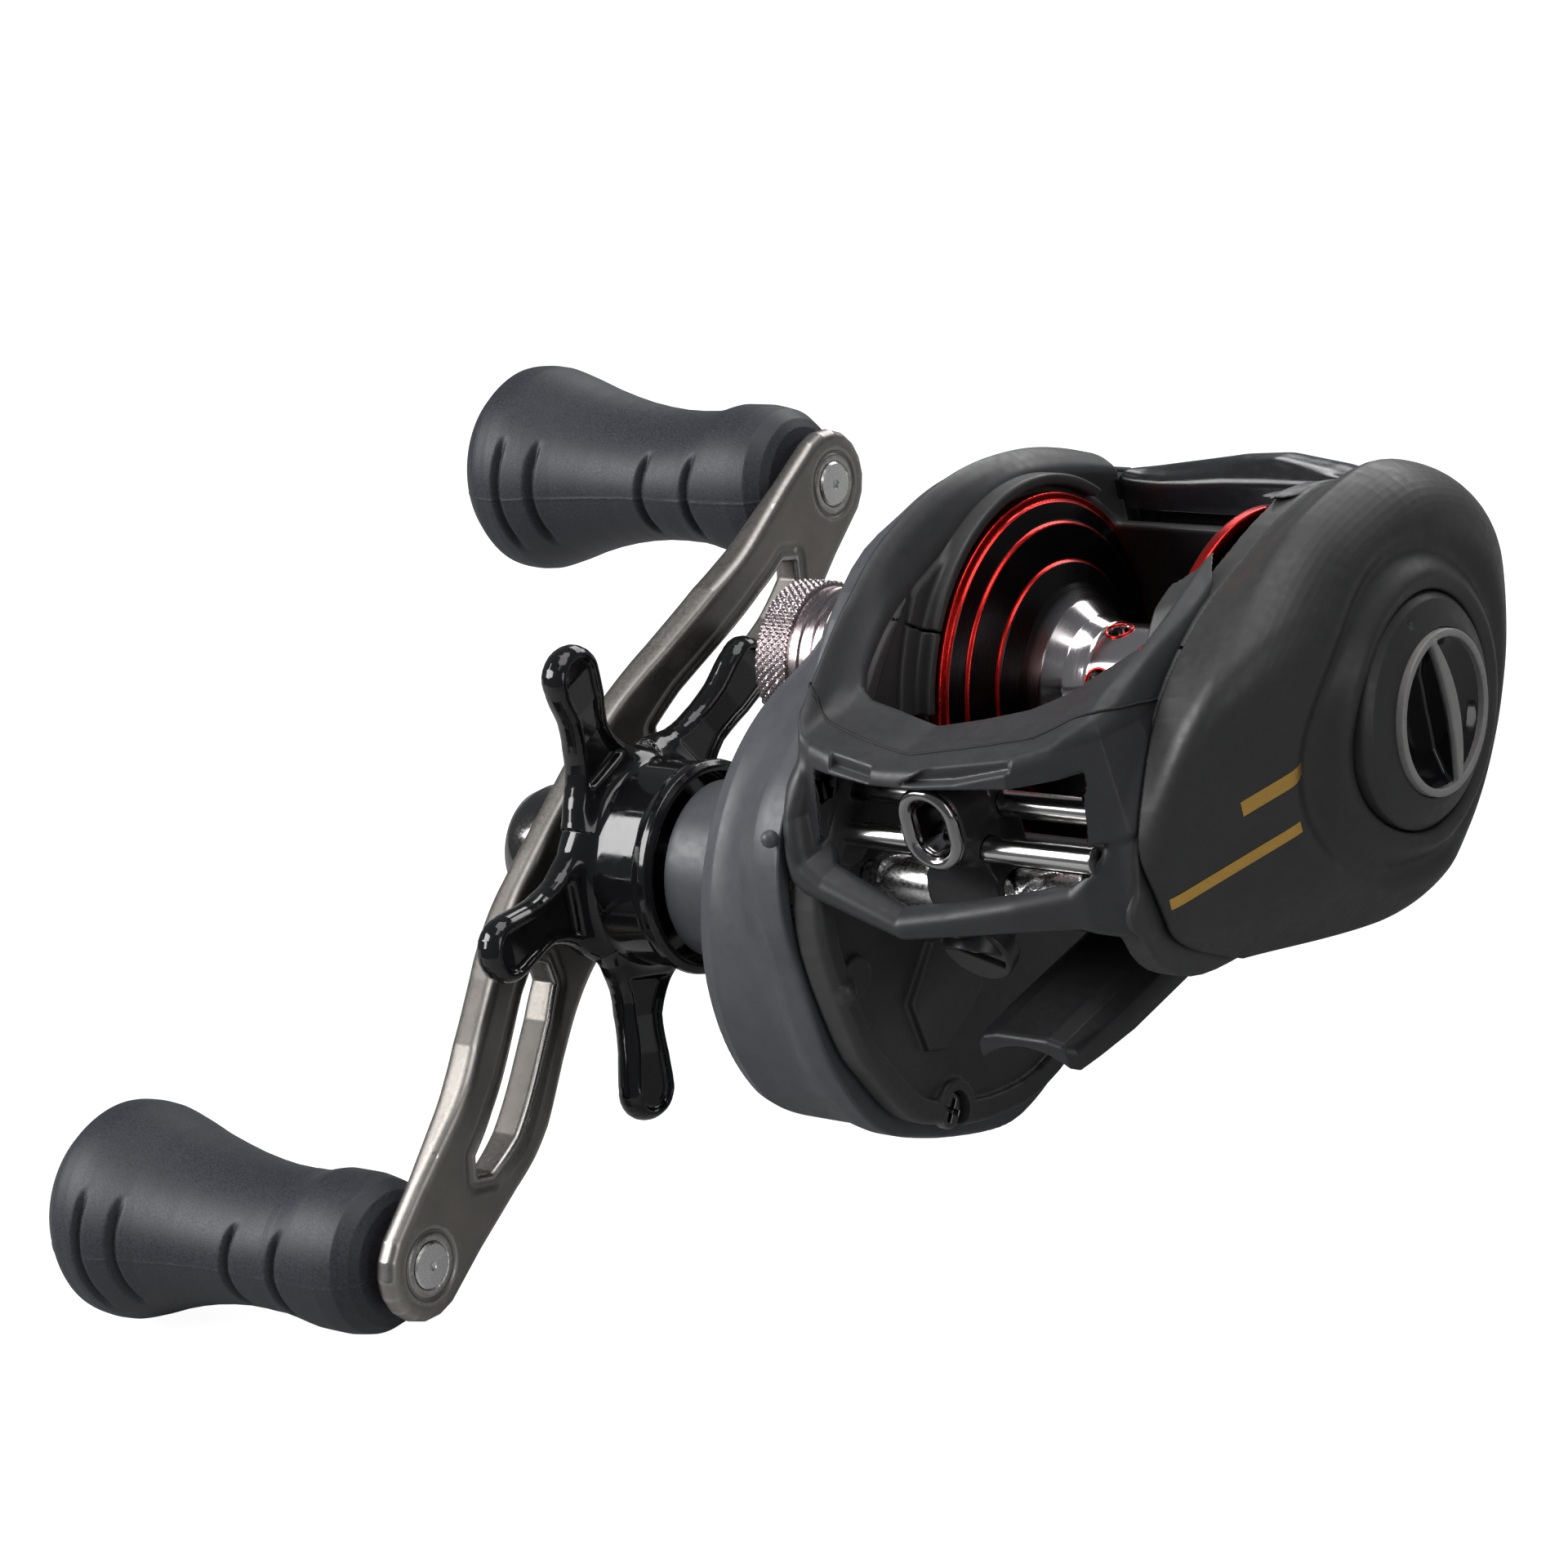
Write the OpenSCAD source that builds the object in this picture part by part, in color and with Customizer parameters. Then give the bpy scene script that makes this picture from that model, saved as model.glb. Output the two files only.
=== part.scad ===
// Low-profile baitcasting reel, assembled from its separate pieces.
// Units are millimetres. The origin is the centre of the spool.
// X runs along the spool axle: the crank is on the -X side and the brake dial on the +X side.
// -Y is the front, where the line leaves through the guide. +Z is up, away from the rod.

/* [Spool] */
// Radius of the spool flanges
spool_r = 19; // [18:0.1:19.1]
// Half the gap between the flange rims
spool_half = 12.7; // [11.5:0.1:12.8]
// Radius of the spool arbor the line is wound on
arbor_r = 6.3; // [6:0.1:7]

/* [Crank] */
// Distance from the crank axis to each knob axis
crank_reach = 51.4; // [45:0.2:56]
// Turn of the crank arm from the horizontal, in degrees
crank_turn = 26.2; // [0:0.1:90]
// Length of each grip knob
knob_len = 45; // [38:0.5:50]
// Radius of the star wheel at its five tips
star_r = 27; // [22:0.5:28]

/* [Foot] */
// Length of the foot that lies in the rod's reel seat
foot_len = 60; // [52:1:66]
// Radius of the hollow under the foot
saddle_r = 8.2; // [8:0.1:9]

/* [Output] */
// Which piece to draw

/* [Hidden] */
$fn = 64;

// Small gaps: one for parts that turn or slide on each other, one for parts that only sit together
run_gap = 0.05;
seat_gap = 0.02;

// Gears: the crank gear drives the spool pinion, and a finer pair drives the level-wind worm
gear_mod = 0.65;
main_teeth = 62;
pinion_teeth = 10;
level_mod = 0.5;
level_teeth = 52;
worm_teeth = 33;
pressure = 25;
backlash = 0.1;

// Axes that run along X, given as [y, z]
spool_c = [0, 0];
drive_gap = gear_mod * (main_teeth + pinion_teeth) / 2;
drive_y = -14.5;
drive_c = [drive_y, -sqrt(drive_gap * drive_gap - drive_y * drive_y)];
worm_gap = level_mod * (level_teeth + worm_teeth) / 2;
worm_y = -31.6;
worm_c = [worm_y, drive_c[1] + sqrt(worm_gap * worm_gap - pow(worm_y - drive_y, 2))];
low_rod_c = [-33.8, 0.4];
high_rod_c = [-29.8, 3.2];
rod_r = 1.3;

// Stations along X
plate_in = -14.6;
plate_out = -18;
ring_in = 14.6;
ring_out = 17;
case_out = -33.7;
axle_r = 1.5;

function polar(r, a) = [r * cos(a), r * sin(a)];
function arc_pts(c, r, a0, a1, n) = [for (i = [0:n]) c + polar(r, a0 + (a1 - a0) * i / n)];

// Extrudes a [y, z] outline along X between two stations
module slab(x0, x1) {
    translate([x0, 0, 0]) rotate([90, 0, 90]) linear_extrude(height = x1 - x0) children();
}

module disc(x0, x1, r, c = [0, 0]) {
    slab(x0, x1) translate(c) circle(r = r);
}

module tube(x0, x1, ro, ri, c = [0, 0]) {
    slab(x0, x1) translate(c) difference() {
        circle(r = ro);
        circle(r = ri);
    }
}

// Turns a profile of [radius, x] points about an axis along X
module turned(pts, c = [0, 0]) {
    translate([0, c[0], c[1]]) rotate([0, 90, 0]) rotate_extrude() polygon(pts);
}

// ---- Gear teeth -----------------------------------------------------------------------------
function inv(a) = tan(a) * 180 / PI - a;
function half_angle(z, m, r) =
    let (rb = m * z / 2 * cos(pressure), at = r > rb ? acos(rb / r) : 0)
    90 / z - backlash / (m * z) * 90 / PI + inv(pressure) - inv(at);
function gear_pts(z, m, phase) =
    let (rp = m * z / 2, lo = rp - 1.15 * m, hi = rp + 0.85 * m, n = 4)
    [for (i = [0:z - 1], s = [-1, 1], k = [0:n])
        let (t = s < 0 ? k / n : 1 - k / n, r = lo + (hi - lo) * t)
        polar(r, phase + 360 * i / z + s * half_angle(z, m, r))];

// Directions from the crank axis to the spool axle and to the worm
to_spool = atan2(-drive_c[1], -drive_c[0]);
to_worm = atan2(worm_c[1] - drive_c[1], worm_c[0] - drive_c[0]);

// ---- Frame ----------------------------------------------------------------------------------
case_screw_at = [for (a = [-134, -62, 8, 105]) drive_c + polar(23.2, a)];
post_at = [for (s = [-90, 90]) polar(7.3, to_spool + s)];
foot_top = -21.2;
foot_screw_y = [-6, 6];

module left_plate_outline() {
    circle(r = 23.2);
    translate(drive_c) circle(r = 25.6);
    translate(worm_c) circle(r = 11);
    polygon([[-14, 18], [-26, 13.6], [-35.8, 11], [-35.8, 0], [-20, 0]]);
}

// Part of a ring about the spool axle, between two angles less than a half turn apart
module ring_sector(ro, ri, a0, a1) {
    polygon(concat(arc_pts([0, 0], ro, a0, a1, 16), arc_pts([0, 0], ri, a1, a0, 16)));
}

module right_ring_outline() {
    polygon([[16, 17], [7, 22.6], [-5, 22.4], [-16, 17], [-28, 9], [-36, 3], [-36.5, -4], [-32, -10],
             [-22, -16], [-8, -21.6], [6, -22], [16, -17.5], [22.5, -9], [24, 0], [22, 9.5]]);
}

module main_frame() {
    color("#2c2d30") {
        difference() {
            slab(plate_out, plate_in) left_plate_outline();
            disc(-19, -13, 4.6);
            disc(-19, -15.6, 5 + seat_gap, drive_c);
            disc(-19, -13, axle_r + run_gap, worm_c);
            disc(-19, -13, rod_r + seat_gap, low_rod_c);
            disc(-19, -13, rod_r + seat_gap, high_rod_c);
            for (c = case_screw_at) {
                disc(-19, -13, 1.12, c);
                disc(-16.2, -13, 2.1, c);
            }
            for (c = post_at) disc(-19, -13, 1 + seat_gap, c);
            slab(-16.8, -13) translate([20.4, 6.4]) square([2.2, 7.2]);
        }
        difference() {
            slab(ring_in, ring_out) right_ring_outline();
            disc(13, 18, 19.6);
            disc(13, 18, 2.2, worm_c);
            disc(13, 18, rod_r + seat_gap, low_rod_c);
            disc(13, 18, rod_r + seat_gap, high_rod_c);
        }
        difference() {
            union() {
                slab(plate_in - 0.5, ring_in + 0.5) ring_sector(-foot_top - 0.05, 19.7, 222, 370);
                slab(-6.4, 6.4) difference() {
                    translate([-14, foot_top]) square([27, 5]);
                    circle(r = 19.8);
                }
            }
            for (y = foot_screw_y) translate([0, y, 0]) {
                translate([0, 0, -23]) cylinder(h = 6, r = 1.12);
                translate([0, 0, -20.4]) cylinder(h = 4, r = 1.9);
            }
        }
    }
}

hood_side = [[-17.5, 11], [-18.6, 14.5], [-26, 14.6], [-38, 12.6], [-39.4, 11.4], [-39.4, 9.4], [-30, 9.4]];

module front_cover() {
    color("#303134") {
        for (x = [[plate_in + 0.1, -12.9], [12.9, ring_in - 0.05]]) slab(x[0], x[1]) {
            ring_sector(23.4, 20.6, 58, 152);
            polygon(hood_side);
        }
        slab(-12.9, 12.9) polygon([[-26.5, 9.4], [-26.5, 10.6], [-37, 12.4], [-39.4, 11.4], [-39.4, 9.4]]);
        difference() {
            slab(plate_out, plate_in) polygon([[-36, 12.4], [-39.4, 11.4], [-43, 4], [-43, -6.8], [-36, -6.8]]);
            disc(-19, -13, 11 + run_gap, worm_c);
        }
        translate([0, 0, -6.8]) linear_extrude(height = 3.8)
            polygon([[plate_in, -43], [-5, -43.4], [8, -40], [14.5, -37.4], [14.5, -35.6], [8, -37.4],
                     [-5, -40], [plate_in, -40]]);
        slab(plate_in - 0.1, plate_in + 0.1) polygon([[-39.4, 9.5], [-39.4, 11.3], [-36, 12.2], [-36, 9.5]]);
    }
}

foot_y0 = -33;
saddle_z = -22.4 - saddle_r;

module reel_foot() {
    color("#242427") difference() {
        intersection() {
            translate([0, foot_y0, 0]) rotate([-90, 0, 0]) linear_extrude(height = foot_len)
                polygon([[-7, 23.2], [-5.8, 21.8], [-3, -foot_top], [3, -foot_top], [5.8, 21.8], [7, 23.2],
                         [7, 26.6], [-7, 26.6]]);
            translate([0, 0, -30]) linear_extrude(height = 12)
                polygon([[-5.7, foot_y0], [5.7, foot_y0], [7, -24], [7, 18], [5.7, foot_y0 + foot_len],
                         [-5.7, foot_y0 + foot_len], [-7, 18], [-7, -24]]);
        }
        translate([0, foot_y0 - 1, saddle_z]) rotate([-90, 0, 0]) cylinder(h = foot_len + 2, r = saddle_r);
        for (y = foot_screw_y) translate([0, y, -23.05]) cylinder(h = 6, r = 1.12);
    }
}

module foot_screws() {
    color("#8a8c90") for (y = foot_screw_y) translate([0, y, 0]) {
        translate([0, 0, -22.35]) cylinder(h = 2.05, r = 1.1);
        translate([0, 0, -20.4]) cylinder(h = 0.9, r = 1.8);
    }
}

// ---- Crank side case ------------------------------------------------------------------------
module case_shell(x_out) {
    turned([[0, plate_out], [25.6, plate_out], [25.4, x_out + 2.4], [23.8, x_out], [0, x_out]], drive_c);
    turned([[0, plate_out], [21.6, plate_out], [20.4, -22], [17, -27], [12, -31],
            [9.6, x_out], [0, x_out]], spool_c);
    turned([[0, plate_out], [11, plate_out], [9.6, -24], [0, -26]], worm_c);
}

module case_cavity() {
    disc(-31.9, plate_out + 1, 22.2, drive_c);
    disc(-31.9, plate_out + 1, 9.8);
    disc(-21.6, plate_out + 1, 9.3, worm_c);
}

module gear_cover() {
    color("#34363a") difference() {
        union() {
            case_shell(case_out);
            disc(-41, case_out + 1, 6.3);
            turned([[0, case_out + 1], [10.4, case_out + 1], [10.4, -35.5], [9.5, -37], [9.5, -48.6], [0, -48.6]],
                   drive_c);
        }
        difference() {
            case_cavity();
            for (c = case_screw_at) disc(-33, -17, 2.1, c);
        }
        disc(-42, -31, 2.9);
        disc(-35, -31, 4 + seat_gap);
        disc(-42, -36, 4 + seat_gap);
        disc(-50, -31, 4.4, drive_c);
        disc(-40, -30, 7.6 + seat_gap, drive_c);
        disc(-50, -44.6, 6.6 + seat_gap, drive_c);
        for (c = case_screw_at) disc(-25, -17, 1.12, c);
        for (c = post_at) disc(-33, -31, 1 + seat_gap, c);
        disc(-22.8, -17, axle_r + run_gap, worm_c);
    }
}

module case_screws() {
    color("#9a9ca0") for (c = case_screw_at) difference() {
        union() {
            disc(-24, -16.3, 1.1, c);
            disc(-16.2, -15.1, 1.95, c);
        }
        for (a = [45, 135]) slab(-15.7, -15) translate(c) rotate(a) square([2.4, 0.45], center = true);
    }
}

// ---- Spool and its axle ---------------------------------------------------------------------
module spool() {
    rim_x = spool_half + 1.3;
    profile = [[axle_r, -3], [axle_r, 12.2], [3.4, 12.2], [3.4, 9.4], [5, 8], [5, -5], [8.4, -9.4], [13, -12.4],
             [spool_r - 1, -rim_x], [spool_r, -rim_x], [spool_r, -spool_half], [16, -11.4], [12.2, -10.4],
             [9, -9], [7.2, -7.2], [arbor_r, -4.6], [arbor_r, 4.6], [7.2, 7.2], [9, 9], [12.2, 10.4], [16, 11.4],
             [spool_r, spool_half], [spool_r, rim_x], [spool_r - 1, rim_x], [11, 13.6], [3.4, 13.6],
             [3.4, 14], [2.6, 14], [2.6, 12.9], [axle_r, 12.9]];
    color("#8f9094") difference() {
        turned(profile);
        for (x = [-2.6, 2.6], a = [0:60:300])
            rotate([a + (x > 0 ? 30 : 0), 0, 0]) translate([x, 0, arbor_r - 2.5]) cylinder(h = 4, r = 1.2);
    }
}

module spool_shaft() {
    color("#c9ccd0") disc(-38.9, 24.8, axle_r);
}

module spool_pin() {
    color("#b9bcc0") translate([-19, 0, -3.1]) cylinder(h = 6.2, r = 0.6);
}

module race(x0, x1, ro, ri, c) {
    groove = (ro + ri) / 2;
    difference() {
        tube(x0, x1, ro, ri, c);
        tube(x0 - 1, x0 + 0.2, groove + 0.7, groove - 0.7, c);
        tube(x1 - 0.2, x1 + 1, groove + 0.7, groove - 0.7, c);
    }
}

module crank_end_bearing() {
    color("#b4b7bb") race(-38.4, -36.1, 4, axle_r + run_gap, spool_c);
}

module palm_end_bearing() {
    color("#b4b7bb") race(21, 23.6, 4.5, axle_r + run_gap, spool_c);
}

module tension_shim() {
    color("#b08d57") disc(-39.8, -39.1, 3.4);
}

module tension_knob() {
    color("#6d6468") difference() {
        union() {
            turned([[0, -45.4], [6.2, -45.4], [7.4, -44.6], [8.2, -43.6], [8.2, -36.6], [7.8, -36], [0, -36]]);
            for (a = [0:15:345]) disc(-43.4, -37, 0.45, polar(8.1, a));
        }
        disc(-41.2, -35, 6.3 + run_gap);
        disc(-44, -41, 3.6);
    }
}

// ---- Clutch ---------------------------------------------------------------------------------
module pinion_gear() {
    color("#b89552") difference() {
        union() {
            slab(-29, -22.6) polygon(gear_pts(pinion_teeth, gear_mod, to_spool + 180));
            disc(-22.7, -18.2, 2.5);
            disc(-20.4, -18.2, 3.8);
            disc(-22.6, -21.8, 3.4);
            disc(-34, -28.9, 2.3);
        }
        disc(-35, -18, axle_r + run_gap);
        slab(-19.9, -18) square([9, 1.36], center = true);
        slab(-19.9, -18) rotate(90) square([9, 1.36], center = true);
    }
}

module clutch_yoke() {
    color("#9ea1a5") difference() {
        slab(-21.7, -20.5) difference() {
            rotate(to_spool) square([5.4, 18], center = true);
            circle(r = 2.5 + run_gap);
            rotate(to_spool) translate([0, -2.5 - run_gap]) square([6, 5 + 2 * run_gap]);
            for (c = post_at) translate(c) circle(r = 1 + run_gap);
        }
    }
}

module yoke_posts() {
    color("#c0c3c7") for (c = post_at) disc(-32.4, -15.2, 1, c);
}

module clutch_cam() {
    color("#3c3c40") difference() {
        slab(-20.3, -18.4) difference() {
            circle(r = 9.4);
            circle(r = 8.5);
        }
        for (a = [20, 200]) slab(-21, -19.6) rotate(a) translate([0, -5]) square([12, 10]);
    }
}

module thumb_bar() {
    color("#1c1c1e") {
        slab(-14.3, 14.3) polygon(concat([[20.4, 9.2], [20.4, 13.4]], arc_pts([24.6, 11], 4.2, 120, 20, 6),
                                         [[29, 8.6], [27.6, 8.2]], [[24, 9.6]]));
        slab(-16.6, -14.2) translate([20.6, 10.2]) square([1.8, 3.2]);
    }
}

// ---- Drive shaft, drag and star wheel -------------------------------------------------------
module drive_shaft() {
    color("#c4c7cb") difference() {
        union() {
            disc(-18.3, -15.7, 2.5, drive_c);
            disc(-22.6, -18.3, 4, drive_c);
            disc(-74.2, -22.5, 2.8, drive_c);
        }
        for (s = [-1, 1]) slab(-75, -67) translate(drive_c + [0, s * 3.2]) square([8, 2], center = true);
    }
}

module drive_inner_bearing() {
    color("#b4b7bb") race(-17.9, -15.7, 5, 2.5 + run_gap, drive_c);
}

module drive_outer_bearing() {
    color("#b4b7bb") race(-48.2, -44.7, 6.6, 2.8 + run_gap, drive_c);
}

module ratchet_wheel() {
    color("#8d8f93") difference() {
        slab(-22.4, -21.4) translate(drive_c)
            polygon([for (i = [0:11], k = [0, 1]) polar(k == 0 ? 9.4 : 7.6, i * 30 + k * 4)]);
        disc(-23, -21, 4, drive_c);
    }
}

module level_drive_gear() {
    color("#d9d4c4") difference() {
        slab(-20.8, -18.9) polygon([for (p = gear_pts(level_teeth, level_mod, to_worm + 180 / level_teeth))
                                    p + drive_c]);
        disc(-22, -18, 4, drive_c);
    }
}

module main_gear() {
    color("#b89552") difference() {
        slab(-27.4, -24) polygon([for (p = gear_pts(main_teeth, gear_mod, to_spool + 180 / main_teeth))
                                  p + drive_c]);
        disc(-30, -25.2, 16.4, drive_c);
        disc(-30, -23, 2.8 + run_gap, drive_c);
        for (a = [0:60:300]) disc(-30, -23, 2.4, drive_c + polar(10.4, a));
    }
}

module drag_washers() {
    color("#4a4b4e") {
        tube(-23.9, -22.7, 15.5, 2.9, drive_c);
        tube(-26.1, -25.3, 16.2, 2.9, drive_c);
        tube(-27.1, -26.2, 15.8, 2.9, drive_c);
        tube(-28, -27.2, 16.2, 2.9, drive_c);
    }
}

module roller_sleeve() {
    color("#c4c7cb") difference() {
        union() {
            disc(-43.4, -28.1, 4.2, drive_c);
            disc(-29.2, -28.1, 12, drive_c);
        }
        disc(-44, -28, 2.8 + run_gap, drive_c);
    }
}

module roller_clutch() {
    color("#9ea1a5") difference() {
        disc(-39.8, -30.6, 7.6, drive_c);
        disc(-41, -30, 4.2 + run_gap, drive_c);
        for (a = [0:60:300]) disc(-39.2, -31.2, 0.9, drive_c + polar(5.6, a));
    }
}

module spring_washers() {
    color("#aeb1b5") {
        tube(-49.6, -48.9, 5.6, 2.9, drive_c);
        tube(-50.6, -49.8, 5.6, 2.9, drive_c);
    }
}

star_turn = 29;
star_hub_r = 11;

module star_arm_outline() {
    polygon(concat([polar(star_hub_r - 1, -24), polar(16, -9), polar(21, -8), polar(25, -11)],
                   arc_pts(polar(star_r - 3.2, -1.5), 3.2, -50, 110, 8),
                   [polar(21, 8), polar(16, 13), polar(star_hub_r - 1, 30)]));
}

module star_wheel() {
    color("#141415") difference() {
        union() {
            turned([[0, -50.8], [star_hub_r - 1, -50.8], [star_hub_r, -51.8], [star_hub_r, -60],
                    [star_hub_r - 3, -64.4], [0, -64.4]], drive_c);
            for (i = [0:4]) slab(-64, -60) translate(drive_c) rotate(star_turn + 72 * i) star_arm_outline();
        }
        disc(-70, -50, 2.8 + run_gap, drive_c);
        disc(-55, -50, 7, drive_c);
    }
}

// ---- Crank arm and knobs --------------------------------------------------------------------
arm_mid = [-70.2, -67];
arm_end = [-64.2, -61.4];
knob_face = -65.6;

// Runs its children in the crank's own frame: first axis along the arm, third axis along X
module crank_frame() {
    translate([0, drive_c[0], drive_c[1]]) rotate([crank_turn, 0, 0]) children();
}

// Side view of the arm as [x, distance along the arm]: both halves sweep in towards the reel
function arm_half(s) = [[arm_mid[0], s * 20], [arm_end[0], s * (crank_reach - 6)],
                        [arm_end[0], s * (crank_reach + 8)], [arm_end[1], s * (crank_reach + 8)],
                        [arm_end[1], s * (crank_reach - 7)], [arm_mid[1], s * 20]];

module crank_arm() {
    color("#3b3836") crank_frame() difference() {
        intersection() {
            translate([0, 0, -10]) linear_extrude(height = 20)
                polygon(concat(arm_half(1), [for (i = [5:-1:0]) arm_half(-1)[i]]));
            slab(-80, -55) union() {
                for (s = [-1, 1]) translate([s * crank_reach, 0]) circle(r = 6);
                circle(r = 8.5);
                polygon([[-crank_reach, -5.4], [-crank_reach, 5.4], [-14, 7], [14, 7], [crank_reach, 5.4],
                         [crank_reach, -5.4], [14, -7], [-14, -7]]);
            }
        }
        slab(-80, -55) intersection() {
            circle(r = 2.8 + seat_gap);
            rotate(-crank_turn) square([8, 4.4 + 2 * seat_gap], center = true);
        }
        for (s = [-1, 1]) {
            slab(-80, -55) translate([s * crank_reach, 0]) circle(r = 2.1);
            slab(-62.25, -60) translate([s * crank_reach, 0]) circle(r = 2.55);
            slab(-80, -55) polygon([[s * 41, -2.6], [s * 41, 2.6], [s * 14, 4], [s * 14, -4]]);
        }
    }
}

module crank_nut() {
    color("#b9bcc0") difference() {
        slab(-73.8, -70.3) translate(drive_c) circle(r = 5.4, $fn = 6);
        disc(-75, -70, 2.85, drive_c);
    }
}

module nut_cap() {
    color("#2a2a2c") difference() {
        turned([[0, -77.6], [3.4, -77.4], [6, -76.2], [7, -73.8], [7, -70.4], [0, -70.4]], drive_c);
        disc(-74.4, -70, 5.6, drive_c);
    }
}

module knob_spindles() {
    color("#c9ccd0") crank_frame() for (s = [-1, 1]) translate([0, s * crank_reach, 0]) {
        disc(knob_face - knob_len + 4, -62.2, 2);
        disc(-62.2, -61.3, 2.5);
    }
}

module knob_bushings() {
    color("#6f7175") crank_frame() for (s = [-1, 1]) translate([0, s * crank_reach, 0]) {
        tube(-67.2, -64.4, 3.4, 2 + run_gap);
    }
}

module knob_body() {
    e = knob_face - knob_len;
    difference() {
        intersection() {
            turned([[0, e], [6, e + 0.3], [9, e + 1.8], [11.2, e + 4.2], [12, e + 6.6], [11.4, e + 10],
                    [9.6, e + 15.5], [8, e + 21], [7.4, e + 27], [7.7, e + 34], [8.3, e + 40],
                    [7, e + 43], [5.4, e + knob_len - 0.3], [0, e + knob_len - 0.3]]);
            slab(e - 1, knob_face + 1) square([24.4, 17.6], center = true);
        }
        disc(e + 3.4, knob_face + 1, 2 + run_gap);
        disc(-67.3, knob_face + 1, 3.5);
    }
}

module knob_a() {
    color("#1d1f24") crank_frame() translate([0, crank_reach, 0]) knob_body();
}

module knob_b() {
    color("#1d1f24") crank_frame() translate([0, -crank_reach, 0]) knob_body();
}

// ---- Level wind -----------------------------------------------------------------------------
worm_r = 2.5;
guide_x = -2.3;
eye_y = -37.2;
eye_z = [4.4, 5.2];
pawl_tilt = 20;

module worm_shaft() {
    color("#c9ccd0") {
        disc(-13.6, 13.6, worm_r, worm_c);
        disc(-22.4, 17.8, axle_r, worm_c);
    }
}

module worm_gear() {
    color("#e4e0d2") difference() {
        slab(-20.8, -18.9) polygon([for (p = gear_pts(worm_teeth, level_mod, to_worm + 180)) p + worm_c]);
        disc(-22, -18, axle_r, worm_c);
    }
}

module worm_bushing() {
    color("#b08d57") tube(14.6, 16.9, 2.2 - seat_gap, axle_r + run_gap, worm_c);
}

module guide_rods() {
    color("#d5d7da") {
        disc(-16.6, 16.8, rod_r, low_rod_c);
        disc(-16.6, 16.8, rod_r, high_rod_c);
    }
}

// An upright slot shape across the line's path: x and z, run along Y
module eye_slot(y0, y1, r) {
    translate([guide_x, y0, 0]) rotate([-90, 0, 0]) linear_extrude(height = y1 - y0) {
        for (z = eye_z) translate([0, -z]) circle(r = r);
        translate([-r, -eye_z[1]]) square([2 * r, eye_z[1] - eye_z[0]]);
    }
}

// Runs its children with the third axis along the pawl, pointing down and forward from the worm
module pawl_frame() {
    translate([guide_x, worm_c[0], worm_c[1]]) rotate([180 - pawl_tilt, 0, 0]) children();
}

module line_guide() {
    color("#1b1b1d") difference() {
        union() {
            eye_slot(eye_y, -32.4, 3.5);
            slab(guide_x - 3.2, guide_x + 3.2) polygon([[-36.2, 2.4], [-31, 2.4], [-28.4, -1], [-28, -5.5],
                                                        [-35.2, -5.5], [-36.2, -1.4]]);
            disc(guide_x - 3.2, guide_x + 3.2, 2.3, high_rod_c);
            slab(guide_x - 3.2, guide_x + 3.2) polygon([[-31.8, 2], [-31.6, 4.6], [-28, 2.4], [-28.6, -1]]);
            disc(guide_x - 4.2, guide_x + 4.2, 3.9, worm_c);
            pawl_frame() translate([0, 0, 1]) cylinder(h = 5.2, r = 3.5);
        }
        eye_slot(eye_y - 1, -32.8, 2.7 + seat_gap);
        eye_slot(-33, -27, 2.1);
        translate([guide_x - 2.1, -33, eye_z[0]]) cube([4.2, 6, 6]);
        disc(guide_x - 6, guide_x + 6, rod_r + run_gap, low_rod_c);
        disc(guide_x - 6, guide_x + 6, rod_r + run_gap, high_rod_c);
        disc(guide_x - 6, guide_x + 6, worm_r + run_gap, worm_c);
        pawl_frame() translate([0, 0, 2]) cylinder(h = 5, r = 1.9);
    }
}

module guide_insert() {
    color("#77797d") difference() {
        union() {
            eye_slot(eye_y - 0.9, eye_y, 3.3);
            eye_slot(eye_y - 0.1, -32.9, 2.7);
        }
        eye_slot(eye_y - 2, -32, 2.1);
    }
}

module worm_pawl() {
    color("#b89552") pawl_frame() {
        translate([0, 0, 3.6]) cylinder(h = 2.5, r = 1.8);
        translate([-1.3, -0.35, 2.7]) cube([2.6, 0.7, 1]);
    }
}

module pawl_cap() {
    color("#2a2b2d") pawl_frame() difference() {
        translate([0, 0, 6.2]) cylinder(h = 1.8, r = 3.7);
        translate([-2.6, -0.4, 7.3]) cube([5.2, 0.8, 1]);
    }
}

// ---- Palm side ------------------------------------------------------------------------------
palm_wide = [[6, 21.6], [16, 17.6], [23, 13], [27, 8.4], [29, 2], [28, -5.5], [24.5, -12.4], [18.5, -17.6],
             [10, -20.4], [-4, -20.4], [-18, -17.8], [-30, -12.6], [-36.5, -7.4], [-38, -1], [-35, 4],
             [-26, 10.6], [-16, 16.4], [-5, 21]];
palm_mid = [[5, 20.6], [14, 17.4], [21, 12], [24.6, 6], [25, 0], [23, -8], [18, -14.4], [8, -18], [-4, -18.4],
            [-18, -15.8], [-28, -11.4], [-33, -6], [-33, -1], [-24, 8], [-14, 15], [-4, 19.6]];

module palm_cover() {
    color("#2f3032") difference() {
        union() {
            slab(ring_out, 25) polygon(palm_wide);
            slab(24.9, 28.4) polygon(palm_mid);
            turned([[0, 28], [17, 28], [14.6, 30.8], [0, 30.8]]);
        }
        difference() {
            disc(16, 26.4, 18.2);
            disc(20.6, 27, 6.4);
            disc(21.2, 22.6, 18.4);
        }
        disc(16, 27, 2.6);
        disc(20.4, 23.7, 4.5 + seat_gap);
        disc(26, 33, 12 + seat_gap);
        disc(16, 18.6, 2.2, worm_c);
    }
}

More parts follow.
